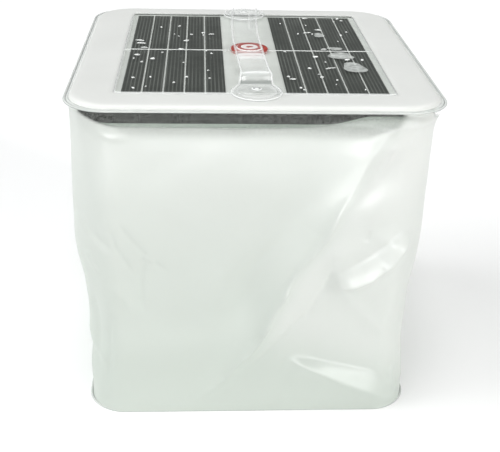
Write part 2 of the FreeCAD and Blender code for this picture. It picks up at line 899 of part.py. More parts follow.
def make_panel_leads():
    """Two wires from the plate's underside down to the board."""
    top = value(PLATE_FOOT)
    foot = value(f"{BOARD_FOOT} + board_thick")
    step = (top - foot) / 3

    def route(off):
        x = PANEL_LEAD_X + off
        return [
            (x, PANEL_LEAD_Y + PANEL_LEAD_SWAY, top),
            (x, PANEL_LEAD_Y + PANEL_LEAD_SWAY, top - step),
            (x, PANEL_LEAD_Y - PANEL_LEAD_SWAY, foot + step),
            (x, PANEL_LEAD_Y - PANEL_LEAD_SWAY, foot),
        ]

    return lead_pair("panel_leads", route)


def make_all():
    sleeve = make_body_sleeve()
    return [
        make_bottom_sheet(),
        make_bottom_rim_weld(),
        sleeve,
        make_sleeve_seam(sleeve),
        make_valve_collar(),
        make_valve_diaphragm(),
        make_valve_stem(),
        make_valve_flap(),
        make_valve_cap(),
        make_valve_tether(),
        make_top_sheet(),
        make_top_rim_weld(),
        make_top_plate(),
        make_panel_gasket(),
        make_solar_backing(),
        make_cell_group("solar_cells_left", -1),
        make_cell_group("solar_cells_right", 1),
        make_cell_ribbons(),
        make_solar_cover(),
        make_button_ring(),
        make_power_button(),
        make_strap_patch("strap_patch_front", -1),
        make_strap_patch("strap_patch_rear", 1),
        make_handle_strap(),
        make_strap_bosses(),
        make_electronics_tray(),
        make_main_board(),
        make_board_screws(),
        make_light_chips(),
        make_board_components(),
        make_tact_switch(),
        make_battery_pad(),
        make_battery(),
        make_battery_socket(),
        make_battery_leads(),
        make_panel_leads(),
    ]


def check(nodes):
    """Stop on any failed object and on any shape that is empty or broken."""
    doc.recompute()
    for thing in doc.Objects:
        if "Invalid" in thing.State or "Error" in thing.State:
            raise RuntimeError(f"{thing.Label} failed: {thing.State}")
    for node in nodes:
        if node.Shape.isNull() or not node.Shape.isValid() or node.Shape.Volume <= 0:
            raise RuntimeError(f"{node.Label} has no sound shape")


sheet = make_sheet()
nodes = make_all()
check(nodes)
os.makedirs("parts", exist_ok=True)
for node in nodes:
    node.Shape.exportStep(f"parts/{node.Label}.step")
    print(node.Label, round(node.Shape.Volume, 1), len(node.Shape.Solids))
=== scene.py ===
"""Looks of a solar lantern: a frosted, inflatable cube with a solar module, a button and a clear strap.

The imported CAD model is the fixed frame. Film, welds, cover and strap are made here as meshes around it, and
every CAD piece that still shows gets a procedural material. Lengths are in metres, and MM turns millimetres
into them. The front is at -Y.
"""
import json
import math

import bpy
import numpy as np
from mathutils import Matrix, Vector


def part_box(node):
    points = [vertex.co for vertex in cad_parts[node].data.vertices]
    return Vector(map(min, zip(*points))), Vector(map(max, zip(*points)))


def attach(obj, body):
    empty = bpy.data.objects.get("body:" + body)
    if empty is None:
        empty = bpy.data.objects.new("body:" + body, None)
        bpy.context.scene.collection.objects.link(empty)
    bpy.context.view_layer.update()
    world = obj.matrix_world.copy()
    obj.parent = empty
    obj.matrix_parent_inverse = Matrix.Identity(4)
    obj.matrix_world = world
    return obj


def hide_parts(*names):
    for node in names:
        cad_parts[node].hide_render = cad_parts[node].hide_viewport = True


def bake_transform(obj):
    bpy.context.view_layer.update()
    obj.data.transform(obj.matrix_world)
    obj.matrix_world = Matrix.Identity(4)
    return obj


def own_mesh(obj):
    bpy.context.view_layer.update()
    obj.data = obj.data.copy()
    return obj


MM = 0.001

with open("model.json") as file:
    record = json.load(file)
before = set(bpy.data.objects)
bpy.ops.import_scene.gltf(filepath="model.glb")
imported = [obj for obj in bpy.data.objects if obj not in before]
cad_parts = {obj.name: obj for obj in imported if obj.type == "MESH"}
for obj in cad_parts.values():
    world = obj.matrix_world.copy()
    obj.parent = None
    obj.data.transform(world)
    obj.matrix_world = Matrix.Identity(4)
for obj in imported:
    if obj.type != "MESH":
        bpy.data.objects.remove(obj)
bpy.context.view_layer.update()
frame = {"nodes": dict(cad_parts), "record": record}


# ---- numbers taken from the frame

def span(node):
    """Lowest and highest corner of a node, as numpy arrays in metres."""
    low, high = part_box(node)
    return np.array(low), np.array(high)


SLEEVE = span("body_sleeve")
RIM = span("top_rim_weld")
TOP = span("top_sheet")
FOOT = span("bottom_rim_weld")
GASKET = span("panel_gasket")
COVER = span("solar_cover")
STRAP = span("handle_strap")
PATCH_FRONT = span("strap_patch_front")
PATCH_REAR = span("strap_patch_rear")
SEAM = span("sleeve_seam")
CELLS_LEFT = span("solar_cells_left")
CELLS_RIGHT = span("solar_cells_right")

WALL_HALF = SLEEVE[1][0]
WALL_ROUND = 17 * MM
FILM_LOW, FILM_HIGH = FOOT[0][2] + 0.5 * MM, RIM[0][2] + 0.3 * MM
COVER_HALF = (COVER[1] - COVER[0])[:2] / 2
COVER_MIDDLE = (COVER[1] + COVER[0])[:2] / 2


# ---- mesh helpers

def piece(name, points, faces, material, smooth=True):
    """A mesh object from numpy points and face lists, linked to the scene."""
    mesh = bpy.data.meshes.new(name)
    mesh.from_pydata([tuple(p) for p in np.asarray(points, float).reshape(-1, 3)], [], faces)
    mesh.validate()
    mesh.polygons.foreach_set("use_smooth", [smooth] * len(mesh.polygons))
    mesh.update()
    made = bpy.data.objects.new(name, mesh)
    bpy.context.scene.collection.objects.link(made)
    made.data.materials.append(material)
    return made


def grid_faces(rows, cols, wrap_rows=False, wrap_cols=False):
    """Quads of a grid of points stored row by row."""
    faces = []
    for r in range(rows if wrap_rows else rows - 1):
        for c in range(cols if wrap_cols else cols - 1):
            r2, c2 = (r + 1) % rows, (c + 1) % cols
            faces.append([r * cols + c, r * cols + c2, r2 * cols + c2, r2 * cols + c])
    return faces


def joined(parts):
    """One list of points and one of faces from several (points, faces) pairs."""
    points, faces = [], []
    for more_points, more_faces in parts:
        faces += [[i + len(points) for i in face] for face in more_faces]
        points += [tuple(p) for p in np.asarray(more_points, float).reshape(-1, 3)]
    return points, faces


def level_row(outline, height):
    """A flat outline of (x, y) points, lifted to a height, or to one height a point."""
    return np.concatenate([outline, np.zeros((len(outline), 1)) + height], -1)


def lathed(middle, section, count):
    """Rows of a round shape about a point, from (reach, height) pairs in metres."""
    turns = np.arange(count) / count * 2 * math.pi
    around = np.stack([np.cos(turns), np.sin(turns)], -1)
    return np.array([level_row(np.array(middle[:2]) + reach * around, height) for reach, height in section])


def shade_points(made, name, values):
    """Stores one number a point, for a material to read."""
    numbers = np.asarray(values, np.float32).ravel()
    made.data.attributes.new(name, "FLOAT", "POINT").data.foreach_set("value", numbers)


def smooth_curve(points, at):
    """A smooth curve through listed (x, y) points, read at the values given."""
    x, y = np.array(points, float).T
    slope = np.gradient(y, x)
    i = np.clip(np.searchsorted(x, at) - 1, 0, len(x) - 2)
    step = x[i + 1] - x[i]
    t = np.clip((at - x[i]) / step, 0, 1)
    return ((2 * t**3 - 3 * t**2 + 1) * y[i] + (t**3 - 2 * t**2 + t) * step * slope[i]
            + (-2 * t**3 + 3 * t**2) * y[i + 1] + (t**3 - t**2) * step * slope[i + 1])


def smoothstep(low, high, value):
    t = np.clip((value - low) / (high - low), 0, 1)
    return t * t * (3 - 2 * t)


def rounded_square(s, half, corner):
    """Points and outward normals of a rounded square at the running length s, which is 0 at the middle of the
    front and grows towards +X."""
    quarter = 2 * (half - corner) + corner * math.pi / 2
    side = np.floor(s / quarter + 0.5)
    along = s - side * quarter
    flat = half - corner
    over = np.clip(np.abs(along) - flat, 0, None) / corner
    turn = over * np.sign(along)
    x = np.where(np.abs(along) <= flat, along, np.sign(along) * flat + corner * np.sin(turn))
    y = np.where(np.abs(along) <= flat, -half, -flat - corner * np.cos(turn))
    nx, ny = np.sin(turn), -np.cos(turn)
    c, d = np.cos(side * math.pi / 2), np.sin(side * math.pi / 2)
    return (np.stack([c * x - d * y, d * x + c * y], -1),
            np.stack([c * nx - d * ny, d * nx + c * ny], -1))


def outline_length(half, corner):
    return 8 * (half - corner) + 2 * math.pi * corner


def even_outline(count, half, corner):
    """Evenly spaced points of a rounded square, with their outward normals."""
    return rounded_square(np.arange(count) / count * outline_length(half, corner), half, corner)


# ---- materials

class Finish:
    """A material around one Principled shader, with short calls for the nodes that drive it."""

    def __init__(self, name, colour, roughness=0.5, **sockets):
        self.material = bpy.data.materials.new(name)
        self.material.use_nodes = True
        self.tree = self.material.node_tree
        self.shader = next(n for n in self.tree.nodes if n.type == "BSDF_PRINCIPLED")
        self.place = self.tree.nodes.new("ShaderNodeTexCoord").outputs["Object"]
        self.set("Base Color", (*colour, 1))
        self.set("Roughness", roughness)
        for socket, value in sockets.items():
            self.set(socket.replace("_", " "), value)

    def set(self, socket, value):
        self.shader.inputs[socket].default_value = value

    def node(self, kind, **values):
        made = self.tree.nodes.new(kind)
        for name, value in values.items():
            setattr(made, name, value)
        return made

    def link(self, source, target):
        self.tree.links.new(source, target)

    def noise(self, size, detail=2.0, rough=0.5, stretch=(1, 1, 1)):
        """Noise with spots about size metres across."""
        scaled = self.node("ShaderNodeMapping")
        scaled.inputs["Scale"].default_value = stretch
        self.link(self.place, scaled.inputs["Vector"])
        made = self.node("ShaderNodeTexNoise")
        made.inputs["Scale"].default_value = 1 / size
        made.inputs["Detail"].default_value = detail
        made.inputs["Roughness"].default_value = rough
        self.link(scaled.outputs["Vector"], made.inputs["Vector"])
        return made.outputs["Fac"]

    def lines(self, pitch, axis="X", distortion=0.0):
        """Fine parallel lines, pitch metres apart. A wave texture of scale 1 has 20 bands in 2 pi metres."""
        made = self.node("ShaderNodeTexWave", wave_type="BANDS", bands_direction=axis)
        made.inputs["Scale"].default_value = 2 * math.pi / 20 / pitch
        made.inputs["Distortion"].default_value = distortion
        self.link(self.place, made.inputs["Vector"])
        return made.outputs["Fac"]

    def ramp(self, source, *stops):
        """A colour ramp: (position, colour or grey) stops."""
        made = self.node("ShaderNodeValToRGB")
        while len(made.color_ramp.elements) < len(stops):
            made.color_ramp.elements.new(0.5)
        for element, (position, colour) in zip(made.color_ramp.elements, stops):
            element.position = position
            element.color = (*colour, 1) if isinstance(colour, tuple) else (colour, colour, colour, 1)
        self.link(source, made.inputs["Fac"])
        return made.outputs["Color"]

    def range(self, source, low, high, start=0.0, end=1.0):
        made = self.node("ShaderNodeMapRange")
        for name, value in (("From Min", start), ("From Max", end), ("To Min", low), ("To Max", high)):
            made.inputs[name].default_value = value
        self.link(source, made.inputs["Value"])
        return made.outputs["Result"]

    def multiply(self, a, b):
        made = self.node("ShaderNodeMath", operation="MULTIPLY")
        self.link(a, made.inputs[0])
        self.link(b, made.inputs[1])
        return made.outputs["Value"]

    def mix(self, factor, a, b):
        """A colour mix; each colour is a tuple or a socket. The node's colours are sockets 6 and 7."""
        made = self.node("ShaderNodeMix", data_type="RGBA")
        for number, value in ((0, factor), (6, a), (7, b)):
            if isinstance(value, tuple):
                made.inputs[number].default_value = (*value, 1)
            else:
                self.link(value, made.inputs[number])
        return made.outputs[2]

    def attribute(self, name):
        return self.node("ShaderNodeAttribute", attribute_name=name).outputs["Fac"]

    def drive(self, socket, source):
        self.link(source, self.shader.inputs[socket])

    def mottle(self, dark, light, *noise):
        """Base colour in spots, between two (position, colour) stops."""
        self.drive("Base Color", self.ramp(self.noise(*noise), dark, light))

    def roughen(self, low, high, *noise):
        """Roughness in spots, between low and high."""
        self.drive("Roughness", self.range(self.noise(*noise), low, high))

    def bump(self, source, height):
        """Bumps height metres deep."""
        made = self.node("ShaderNodeBump")
        made.inputs["Strength"].default_value = 1
        made.inputs["Distance"].default_value = height
        self.link(source, made.inputs["Height"])
        self.link(made.outputs["Normal"], self.shader.inputs["Normal"])

    def translucent(self, share, colour):
        """Lets a share of the light through, as thin film does; the share may differ from place to place."""
        through = self.node("ShaderNodeBsdfTranslucent")
        through.inputs["Color"].default_value = (*colour, 1)
        both = self.node("ShaderNodeMixShader")
        self.link(share, both.inputs["Fac"])
        output = next(n for n in self.tree.nodes if n.type == "OUTPUT_MATERIAL")
        self.link(self.shader.outputs["BSDF"], both.inputs[1])
        self.link(through.outputs["BSDF"], both.inputs[2])
        self.link(both.outputs["Shader"], output.inputs["Surface"])


def speckled(name, colour, change=0.06, size=3 * MM, roughness=0.5, bump=0.02 * MM, **sockets):
    """A plain material with a little colour variation and a fine bump."""
    made = Finish(name, colour, roughness, **sockets)
    low = tuple(c * (1 - change) for c in colour)
    high = tuple(min(1.0, c * (1 + change)) for c in colour)
    made.mottle((0.3, low), (0.7, high), size, 4)
    made.drive("Roughness", made.range(made.noise(size * 1.7, 3), roughness * 0.85, min(1, roughness * 1.2)))
    made.bump(made.noise(size * 0.3, 3), bump)
    return made


def frosted_film():
    """The wall's film: milky, with a fine matt grain, and clearer where it is pressed against the tray. Its
    colour carries painted shade, greyer towards its foot, and painted light, paler right of the long fold.
    """
    film = Finish("frosted_film", (0.80, 0.835, 0.80), 0.34, IOR=1.46, Specular_IOR_Level=0.5)
    tint = film.ramp(film.noise(55 * MM, 3), (0.35, (0.765, 0.78, 0.755)), (0.65, (0.785, 0.793, 0.77)))
    # Painted shade: the film's colour is mixed towards this darker colour low on the wall, and less so right
    # of the long fold, as painted light.
    film.drive("Base Color", film.mix(film.attribute("painted_shading"), tint, (0.575, 0.622, 0.573)))
    contact = film.attribute("contact")
    grain = film.noise(1.1 * MM, 4, 0.7)
    cloudy = film.range(grain, 0.03, 0.17, 0.35, 0.65)
    clear = film.mix(contact, (0.97, 0.97, 0.97), cloudy)
    film.drive("Alpha", clear)
    film.roughen(0.27, 0.42, 9 * MM, 3)
    film.bump(film.noise(0.7 * MM, 3), 0.012 * MM)
    film.translucent(film.range(contact, 0.22, 0.0), (0.90, 0.93, 0.90))
    return film.material


def base_film():
    film = speckled("base_film", (0.80, 0.84, 0.82), 0.03, 12 * MM, 0.35)
    film.drive("Alpha", film.range(film.noise(14 * MM), 0.86, 0.94))
    return film.material


def clear_weld():
    """The welded flange: clear film, milky where the weld pressed it, with dark lines of painted shade in its
    grooves and along its outer edge.
    """
    film = Finish("clear_weld", (0.90, 0.93, 0.91), 0.12, IOR=1.46)
    line = film.attribute("line")
    film.drive("Base Color", film.mix(line, (0.80, 0.83, 0.80), (0.24, 0.26, 0.25)))
    film.drive("Alpha", film.mix(line, film.range(film.noise(6 * MM, 3), 0.50, 0.72), (0.9, 0.9, 0.9)))
    film.roughen(0.08, 0.22, 3 * MM, 3)
    film.bump(film.noise(1.5 * MM, 2), 0.05 * MM)
    return film.material


def white_film():
    """The white top: a soft vinyl with a faint grain and slight shading marks."""
    film = Finish("white_film", (0.77, 0.78, 0.76), 0.30, IOR=1.46)
    film.mottle((0.3, (0.69, 0.70, 0.675)), (0.7, (0.72, 0.73, 0.705)), 30 * MM, 4)
    film.roughen(0.24, 0.38, 7 * MM, 3)
    film.bump(film.noise(2.4 * MM, 4), 0.03 * MM)
    return film.material


def clear_laminate():
    cover = Finish("clear_laminate", (0.90, 0.92, 0.90), 0.06, IOR=1.47)
    haze = cover.range(cover.noise(20 * MM, 4), 0.008, 0.03)
    # The edge value makes the rolled edge white and more solid, a painted highlight along it; the hole's wall
    # is whiter too.
    cover.drive("Alpha", cover.mix(cover.attribute("edge"), haze, (0.55, 0.55, 0.55)))
    cover.roughen(0.04, 0.11, 9 * MM, 4)
    cover.bump(cover.noise(26 * MM, 2), 0.10 * MM)
    return cover.material


def clear_strap():
    """Clear vinyl: a thin milky band. Its thick edges and fold lines are whiter as painted highlights, and
    its dark lines are painted shade.
    """
    strap = Finish("clear_strap", (0.93, 0.945, 0.935), 0.10, IOR=1.45)
    line = strap.attribute("line")
    strap.drive("Base Color", strap.mix(line, (0.91, 0.925, 0.915), (0.16, 0.18, 0.17)))
    milky = strap.range(strap.noise(9 * MM, 4, stretch=(1, 0.6, 1)), 0.02, 0.10, 0.3, 0.7)
    cloudy = strap.mix(strap.attribute("edge"), milky, (0.93, 0.93, 0.93))
    strap.drive("Alpha", strap.mix(line, cloudy, (0.7, 0.7, 0.7)))
    strap.roughen(0.05, 0.2, 4 * MM, 3)
    strap.bump(strap.noise(5 * MM, 3), 0.35 * MM)
    return strap.material


FINGER_PITCH = 1.55 * MM


def solar_cell():
    """Dark silicon with fine silver finger lines, a little uneven from strip to strip."""
    cell = Finish("solar_cell", (0.03, 0.035, 0.03), 0.3, IOR=1.45, Specular_IOR_Level=0.28)
    base = cell.ramp(cell.noise(6 * MM, 4), (0.3, (0.014, 0.018, 0.013)), (0.7, (0.026, 0.031, 0.024)))
    fingers = cell.ramp(cell.lines(FINGER_PITCH), (0.6, 0.0), (0.97, 1.0))
    broken = cell.range(cell.noise(9 * MM, 3, stretch=(1, 0.25, 1)), 0.25, 1.0, 0.35, 0.65)
    cell.drive("Base Color", cell.mix(cell.multiply(fingers, broken), base, (0.10, 0.11, 0.098)))
    cell.roughen(0.28, 0.45, 3 * MM, 3)
    cell.bump(cell.lines(FINGER_PITCH), 0.015 * MM)
    return cell.material


def circuit_board():
    """White solder mask with thin tracks showing through."""
    board = speckled("circuit_board", (0.72, 0.76, 0.70), 0.03, 5 * MM, 0.4)
    tracks = board.lines(3.4 * MM, "Y", 2.5)
    board.drive("Base Color", board.ramp(tracks, (0.86, (0.74, 0.77, 0.71)), (0.93, (0.58, 0.64, 0.56))))
    return board.material


def light_chip():
    """Yellow phosphor over each light."""
    chip = Finish("light_chip", (0.90, 0.78, 0.38), 0.35)
    chip.mottle((0.4, (0.88, 0.72, 0.30)), (0.6, (0.93, 0.84, 0.50)), 1.2 * MM, 2)
    chip.roughen(0.25, 0.45, 0.6 * MM, 2)
    return chip.material


def metal(name, colour, roughness, grain=0.6 * MM):
    """Brushed metal, a little duller in patches."""
    made = Finish(name, colour, roughness, Metallic=1.0)
    dull, brushed = tuple(c * 0.88 for c in colour), (1, 0.2, 1)
    made.mottle((0.3, dull), (0.7, colour), grain * 3, 3)
    streaks = made.noise(grain, 4, stretch=brushed)
    made.drive("Roughness", made.range(streaks, roughness * 0.7, roughness * 1.4))
    made.bump(made.noise(grain, 2, stretch=brushed), 0.01 * MM)
    return made.material


def red_print():
    ring = Finish("red_print", (0.36, 0.03, 0.015), 0.35)
    ring.mottle((0.3, (0.28, 0.014, 0.008)), (0.7, (0.42, 0.035, 0.016)), 4 * MM, 3)
    ring.roughen(0.28, 0.45, 2 * MM, 2)
    return ring.material


def droplet():
    """Beads of water on the laminate."""
    bead = Finish("droplet", (0.90, 0.92, 0.90), 0.10, IOR=1.33)
    bead.drive("Alpha", bead.range(bead.noise(1.6 * MM, 3), 0.45, 0.95, 0.35, 0.6))
    return bead.material


def dried_mark():
    """A thin pale stain on the laminate, more solid in its middle."""
    mark = Finish("dried_mark", (0.72, 0.75, 0.72), 0.45)
    cloud = mark.range(mark.noise(2.6 * MM, 4), 0.42, 0.85, 0.3, 0.7)
    mark.drive("Alpha", mark.multiply(cloud, mark.range(mark.attribute("edge"), 0.65, 0.95)))
    return mark.material


# Plain materials: colour, then how much it varies, the size of its spots, its roughness and its bump's depth.
PLAIN = {
    "plate_plastic": ((0.62, 0.64, 0.62),),
    "tray_plastic": ((0.30, 0.36, 0.31), 0.10, 1.2 * MM, 0.5),
    "module_board": ((0.585, 0.61, 0.575), 0.05, 9 * MM, 0.4),
    "tinned_ribbon": ((0.80, 0.82, 0.80), 0.05, 2 * MM, 0.4),
    "button_cap": ((0.80, 0.76, 0.74), 0.04, 3 * MM, 0.35),
    "chip_black": ((0.02, 0.02, 0.022), 0.3, 1 * MM, 0.4),
    "switch_body": ((0.05, 0.05, 0.055), 0.2, 1 * MM, 0.35),
    "foam_pad": ((0.75, 0.74, 0.66), 0.08, 1 * MM, 0.9, 0.1 * MM),
    "socket_plastic": ((0.82, 0.80, 0.72), 0.04, 2 * MM, 0.4),
    "wire_cover": ((0.55, 0.03, 0.03), 0.1, 2 * MM, 0.4),
    "valve_plastic": ((0.74, 0.78, 0.76), 0.03, 3 * MM, 0.28),
    "valve_film": ((0.76, 0.80, 0.78), 0.04, 4 * MM, 0.3),
}
MATERIALS = {name: speckled(name, *values).material for name, values in PLAIN.items()}
MATERIALS.update({
    "frosted_film": frosted_film(),
    "base_film": base_film(),
    "weld_film": clear_weld(),
    "white_film": white_film(),
    "gasket_foam": speckled("gasket_foam", (0.012, 0.014, 0.012), 0.5, 0.8 * MM, 0.9, 0.08 * MM,
                            Specular_IOR_Level=0.2).material,
    "solar_cell": solar_cell(),
    "clear_laminate": clear_laminate(),
    "red_print": red_print(),
    "clear_strap": clear_strap(),
    "circuit_board": circuit_board(),
    "light_chip": light_chip(),
    "screw_steel": metal("screw_steel", (0.60, 0.60, 0.58), 0.3),
    "cell_pouch": metal("cell_pouch", (0.66, 0.68, 0.70), 0.4, 2 * MM),
    "droplet": droplet(),
    "dried_mark": dried_mark(),
})


def dress_cad_nodes():
    """Gives every CAD node the procedural material of its slot."""
    slots = {part["node"]: part["material_slot"] for part in frame["record"]["subparts"]}
    for name, node in frame["nodes"].items():
        material = MATERIALS[slots[name]]
        if not node.material_slots:
            node.data.materials.append(material)
        for holder in node.material_slots:
            holder.link = "OBJECT"
            holder.material = material


# ---- the wall's film

# How far each side of the film stands out from the welds' line, as (height, distance) in millimetres.
WALL_LEFT = ((0, -1.2), (10, -1.3), (30, -2.5), (50, -1.9), (62, -1.0), (78, 1.4), (92, 1.8), (110, 1.3),
             (130, 0.9), (145, 0.8))
WALL_RIGHT = ((0, -1.0), (8, -1.6), (22, -2.5), (45, -2.9), (60, -2.7), (74, -1.5), (110, -1.3), (128, -2.0),
              (136, -1.6), (145, 1.8))
WALL_FRONT = ((0, 0), (12, -0.8), (40, -1.8), (70, -0.6), (100, 0.8), (128, -0.6), (137, -1.4), (145, 0.6))
WALL_BACK = ((0, -0.6), (15, -1.4), (45, -0.8), (80, 0.9), (110, 0.4), (130, -1.0), (145, 0.8))

# Folds in the front wall. Each is a path of (distance from the middle, height) in millimetres that runs down,
# how far its crest stands out (a groove when negative), and how far it spreads on its left and on its right.
LONG_FOLD = ((62, 153), (57, 144), (53, 141), (49, 136), (45, 129), (38, 114), (33, 105), (29, 94), (24, 86),
             (19, 79), (15, 71), (13, 65), (9, 56), (6, 47), (3, 39), (0, 34), (-6, 27), (-11, 19), (-17, 13),
             (-24, 8), (-32, 6))
FRONT_FOLDS = (
    # the long diagonal fold, from the top right corner to the bottom left
    (((70, 169), (-14, 14)), 4.4, 26, 17),
    (LONG_FOLD[5:18], 1.5, 5.0, 4.0),
    (LONG_FOLD[5:], 0.9, 2.0, 2.0),
    (LONG_FOLD[:9], 1.8, 8.0, 4.2),
    (LONG_FOLD[9:], 1.3, 2.8, 3.4),
    (((54, 135), (51, 127), (47, 119)), 0.9, 1.1, 1.7),
    (((25, 57), (21, 51), (17, 45), (12, 38), (5, 30), (-3, 22)), -1.4, 2.6, 6.0),
    # the bright fold across the right side
    (((65, 95), (61, 87), (57, 79), (49, 72), (43, 69), (36, 67), (30, 66)), 5.2, 7.5, 4.0),
    (((62, 97), (58, 92), (49, 84), (42, 79), (35, 75)), -0.9, 3.0, 1.2),
    (((54, 79), (53, 75), (52, 71)), -0.5, 0.8, 0.8),
    # the pointed dent under it
    (((33, 75), (29, 65), (25, 56), (22, 47)), -1.7, 2.2, 8.0),
    (((33, 76), (32, 74), (31, 71)), -0.7, 0.9, 1.1),
    (((33, 75), (39, 64), (49, 52), (62, 38)), 1.2, 8.0, 4.0),
    # short sharp creases
    (((15, 68), (13, 65), (14, 60)), 1.0, 0.8, 1.1),
    (((8, 50), (6, 47), (4, 42)), 1.0, 0.8, 1.1),
    (((17, 47), (15, 44), (12, 41)), 0.7, 0.7, 1.3),
    (((18, 79), (14, 73), (13, 69)), -0.6, 0.9, 0.9),
    (((47, 96), (46, 93), (45, 90)), -0.7, 0.9, 1.1),
    # the ledge over the bottom right corner
    (((14, 29), (25, 25), (35, 20), (46, 14.5), (56, 10.5), (67, 5.5)), 3.3, 8.0, 6.5),
    (((16, 31), (24, 29), (34, 27), (42, 25), (54, 22), (66, 15), (72, 10)), -1.6, 2.2, 7.0),
    (((67, 22), (67, 12), (68, 5)), 1.2, 1.1, 1.7),
    (((73, 30), (74, 18), (74, 8)), 1.2, 1.6, 2.4),
    # shallow creases on the left
    (((-78, 98), (-71, 90), (-64, 85), (-57, 80)), 0.9, 5.0, 2.0),
    (((-76, 102), (-69, 93), (-62, 87), (-56, 82)), -0.5, 4.0, 1.2),
    (((-57, 99), (-50, 89), (-43, 80), (-33, 72)), -0.55, 5.0, 1.0),
    (((-59, 96), (-57, 86), (-53, 78), (-49, 71)), -0.55, 4.0, 1.0),
    (((-45, 81), (-47, 70), (-47, 60), (-46, 52)), -0.65, 4.5, 1.0),
    (((-46, 82), (-43, 80), (-41, 78)), 0.7, 0.9, 0.9),
    (((-72, 82), (-69, 75), (-65, 70)), 0.7, 1.4, 1.2),
    (((-61, 55), (-62, 40), (-64, 20), (-67, 10)), -1.0, 4.5, 2.0),
    (((-74, 62), (-72, 50), (-71, 30), (-72, 12)), -0.9, 4.0, 4.0),
    (((-60, 66), (-54, 60), (-50, 52)), 0.5, 2.5, 3.5),
    # where the film leaves the tray's corners
    (((-74, 139), (-66, 134), (-60, 130)), -0.7, 1.6, 1.6),
    (((-76, 142), (-68, 137), (-58, 133.5), (-46, 132.5)), 0.6, 1.2, 2.4),
    (((62, 143), (60, 137), (58, 130)), 0.9, 2.2, 3.0),
)

# Soft swells and hollows in the front wall: (distance from the middle, height, how far it stands out, reach
# along and across its long side, turn in degrees), in millimetres.
FRONT_SWELLS = (
    (-3, 61, -3.2, 17, 9, 66),
    (2, 80, -1.2, 14, 5, 50),
    (-42, 34, 2.0, 25, 13, 8),
    (54, 133, 1.5, 8, 6, 20),
    (46, 105, 3.0, 13, 8, 35),
    (35, 85, 2.4, 10, 6.5, 28),
    (58, 58, 0.9, 14, 9, 90),
    (23, 32, -1.4, 12, 8, 45),
    (12, 98, -1.0, 20, 9, 58),
    (-4, 118, 0.9, 34, 14, 0),
    (-62, 112, 0.8, 12, 10, 90),
)


def swell_relief(s, z, swells):
    relief = np.zeros(s.shape)
    for middle, height, out, long, short, turn in swells:
        c, d = math.cos(math.radians(turn)), math.sin(math.radians(turn))
        along = ((s - middle) * c + (z - height) * d) / long
        across = (-(s - middle) * d + (z - height) * c) / short
        relief += out * np.exp(-(along**2 + across**2))
    return relief


def path_relief(s, z, path, crest, left, right):
    """Height of one fold at the film's points: highest on the path, with its own spread on either side."""
    points = np.array(path, float)
    lengths = np.linalg.norm(np.diff(points, axis=0), axis=1)
    total = lengths.sum()
    best = np.full(s.shape, 1e9)
    run = np.zeros(s.shape)
    hand = np.ones(s.shape)
    before = 0.0
    for a, b, length in zip(points[:-1], points[1:], lengths):
        d = (b - a) / length
        t = np.clip((s - a[0]) * d[0] + (z - a[1]) * d[1], 0, length)
        away_s, away_z = s - a[0] - t * d[0], z - a[1] - t * d[1]
        away = np.hypot(away_s, away_z)
        nearer = away < best
        best = np.where(nearer, away, best)
        run = np.where(nearer, (before + t) / total, run)
        hand = np.where(nearer, np.sign(d[0] * away_z - d[1] * away_s), hand)
        before += length
    spread = np.where(hand > 0, right, left)
    sharp = 0.25
    reach = (np.sqrt(best**2 + sharp**2) - sharp) / spread
    taper = smoothstep(0, 0.2, run) * smoothstep(0, 0.3, 1 - run)
    return crest * taper * np.exp(-reach) * (1 - smoothstep(2.5, 4.0, reach))


def made_up_folds(rng, count):
    """Folds for a wall that nothing is known of: long slanting ones and short ones that branch from them."""
    folds = []
    for n in range(count):
        s, z = rng.uniform(-58, 58), rng.uniform(18, 104)
        heading = rng.choice([-1, 1]) * rng.uniform(0.7, 1.35)
        length = rng.uniform(14, 46) if n % 3 else rng.uniform(45, 80)
        path = [(s, z)]
        for _ in range(4):
            heading += rng.normal(0, 0.16)
            s += math.sin(heading) * length / 4
            z = min(max(z - math.cos(heading) * length / 4, 4), 132)
            path.append((s, z))
        crest = rng.uniform(0.35, 1.5) * (1 if rng.random() < 0.72 else -0.8)
        folds.append((tuple(path), crest, rng.uniform(1.3, 12), rng.uniform(1.3, 12)))
        if n % 2:
            start = path[2]
            branch = tuple((start[0] + k * rng.uniform(3, 6), start[1] - k * rng.uniform(2, 7))
                           for k in range(3))
            folds.append((branch, abs(crest) * 0.6, rng.uniform(1, 4), rng.uniform(1, 4)))
    return folds


def film_relief(s, z):
    """How far the film stands out from its even shape, in millimetres, at running length s and height z."""
    quarter = outline_length(WALL_HALF, WALL_ROUND) / 4 / MM
    relief = np.zeros(s.shape)
    rng = np.random.default_rng(5)
    sides = [FRONT_FOLDS] + [made_up_folds(rng, 13) for _ in range(3)]
    for number, folds in enumerate(sides):
        local = (s - number * quarter + 2 * quarter) % (4 * quarter) - 2 * quarter
        for path, crest, left, right in folds:
            relief += path_relief(local, z, path, crest, left, right)
        if number == 0:
            relief += swell_relief(local, z, FRONT_SWELLS)
    # slow waves all over
    turn = s / (4 * quarter) * 2 * math.pi
    for waves, lift, size in ((3, 0.023, 0.30), (7, 0.041, 0.18), (13, 0.07, 0.10), (22, 0.12, 0.05)):
        phase = rng.uniform(0, 2 * math.pi, 2)
        round_wave = np.sin(waves * turn + phase[0] + 1.5 * np.sin(lift * z))
        relief += size * round_wave * np.cos(lift * z * 2.2 + phase[1])
    ends = smoothstep(0, 6, z) * (1 - smoothstep(140.5, 144.5, z))
    calm = 1 - 0.75 * smoothstep(100, 138, z)
    return relief * ends * np.where(relief < 0, calm, 1)


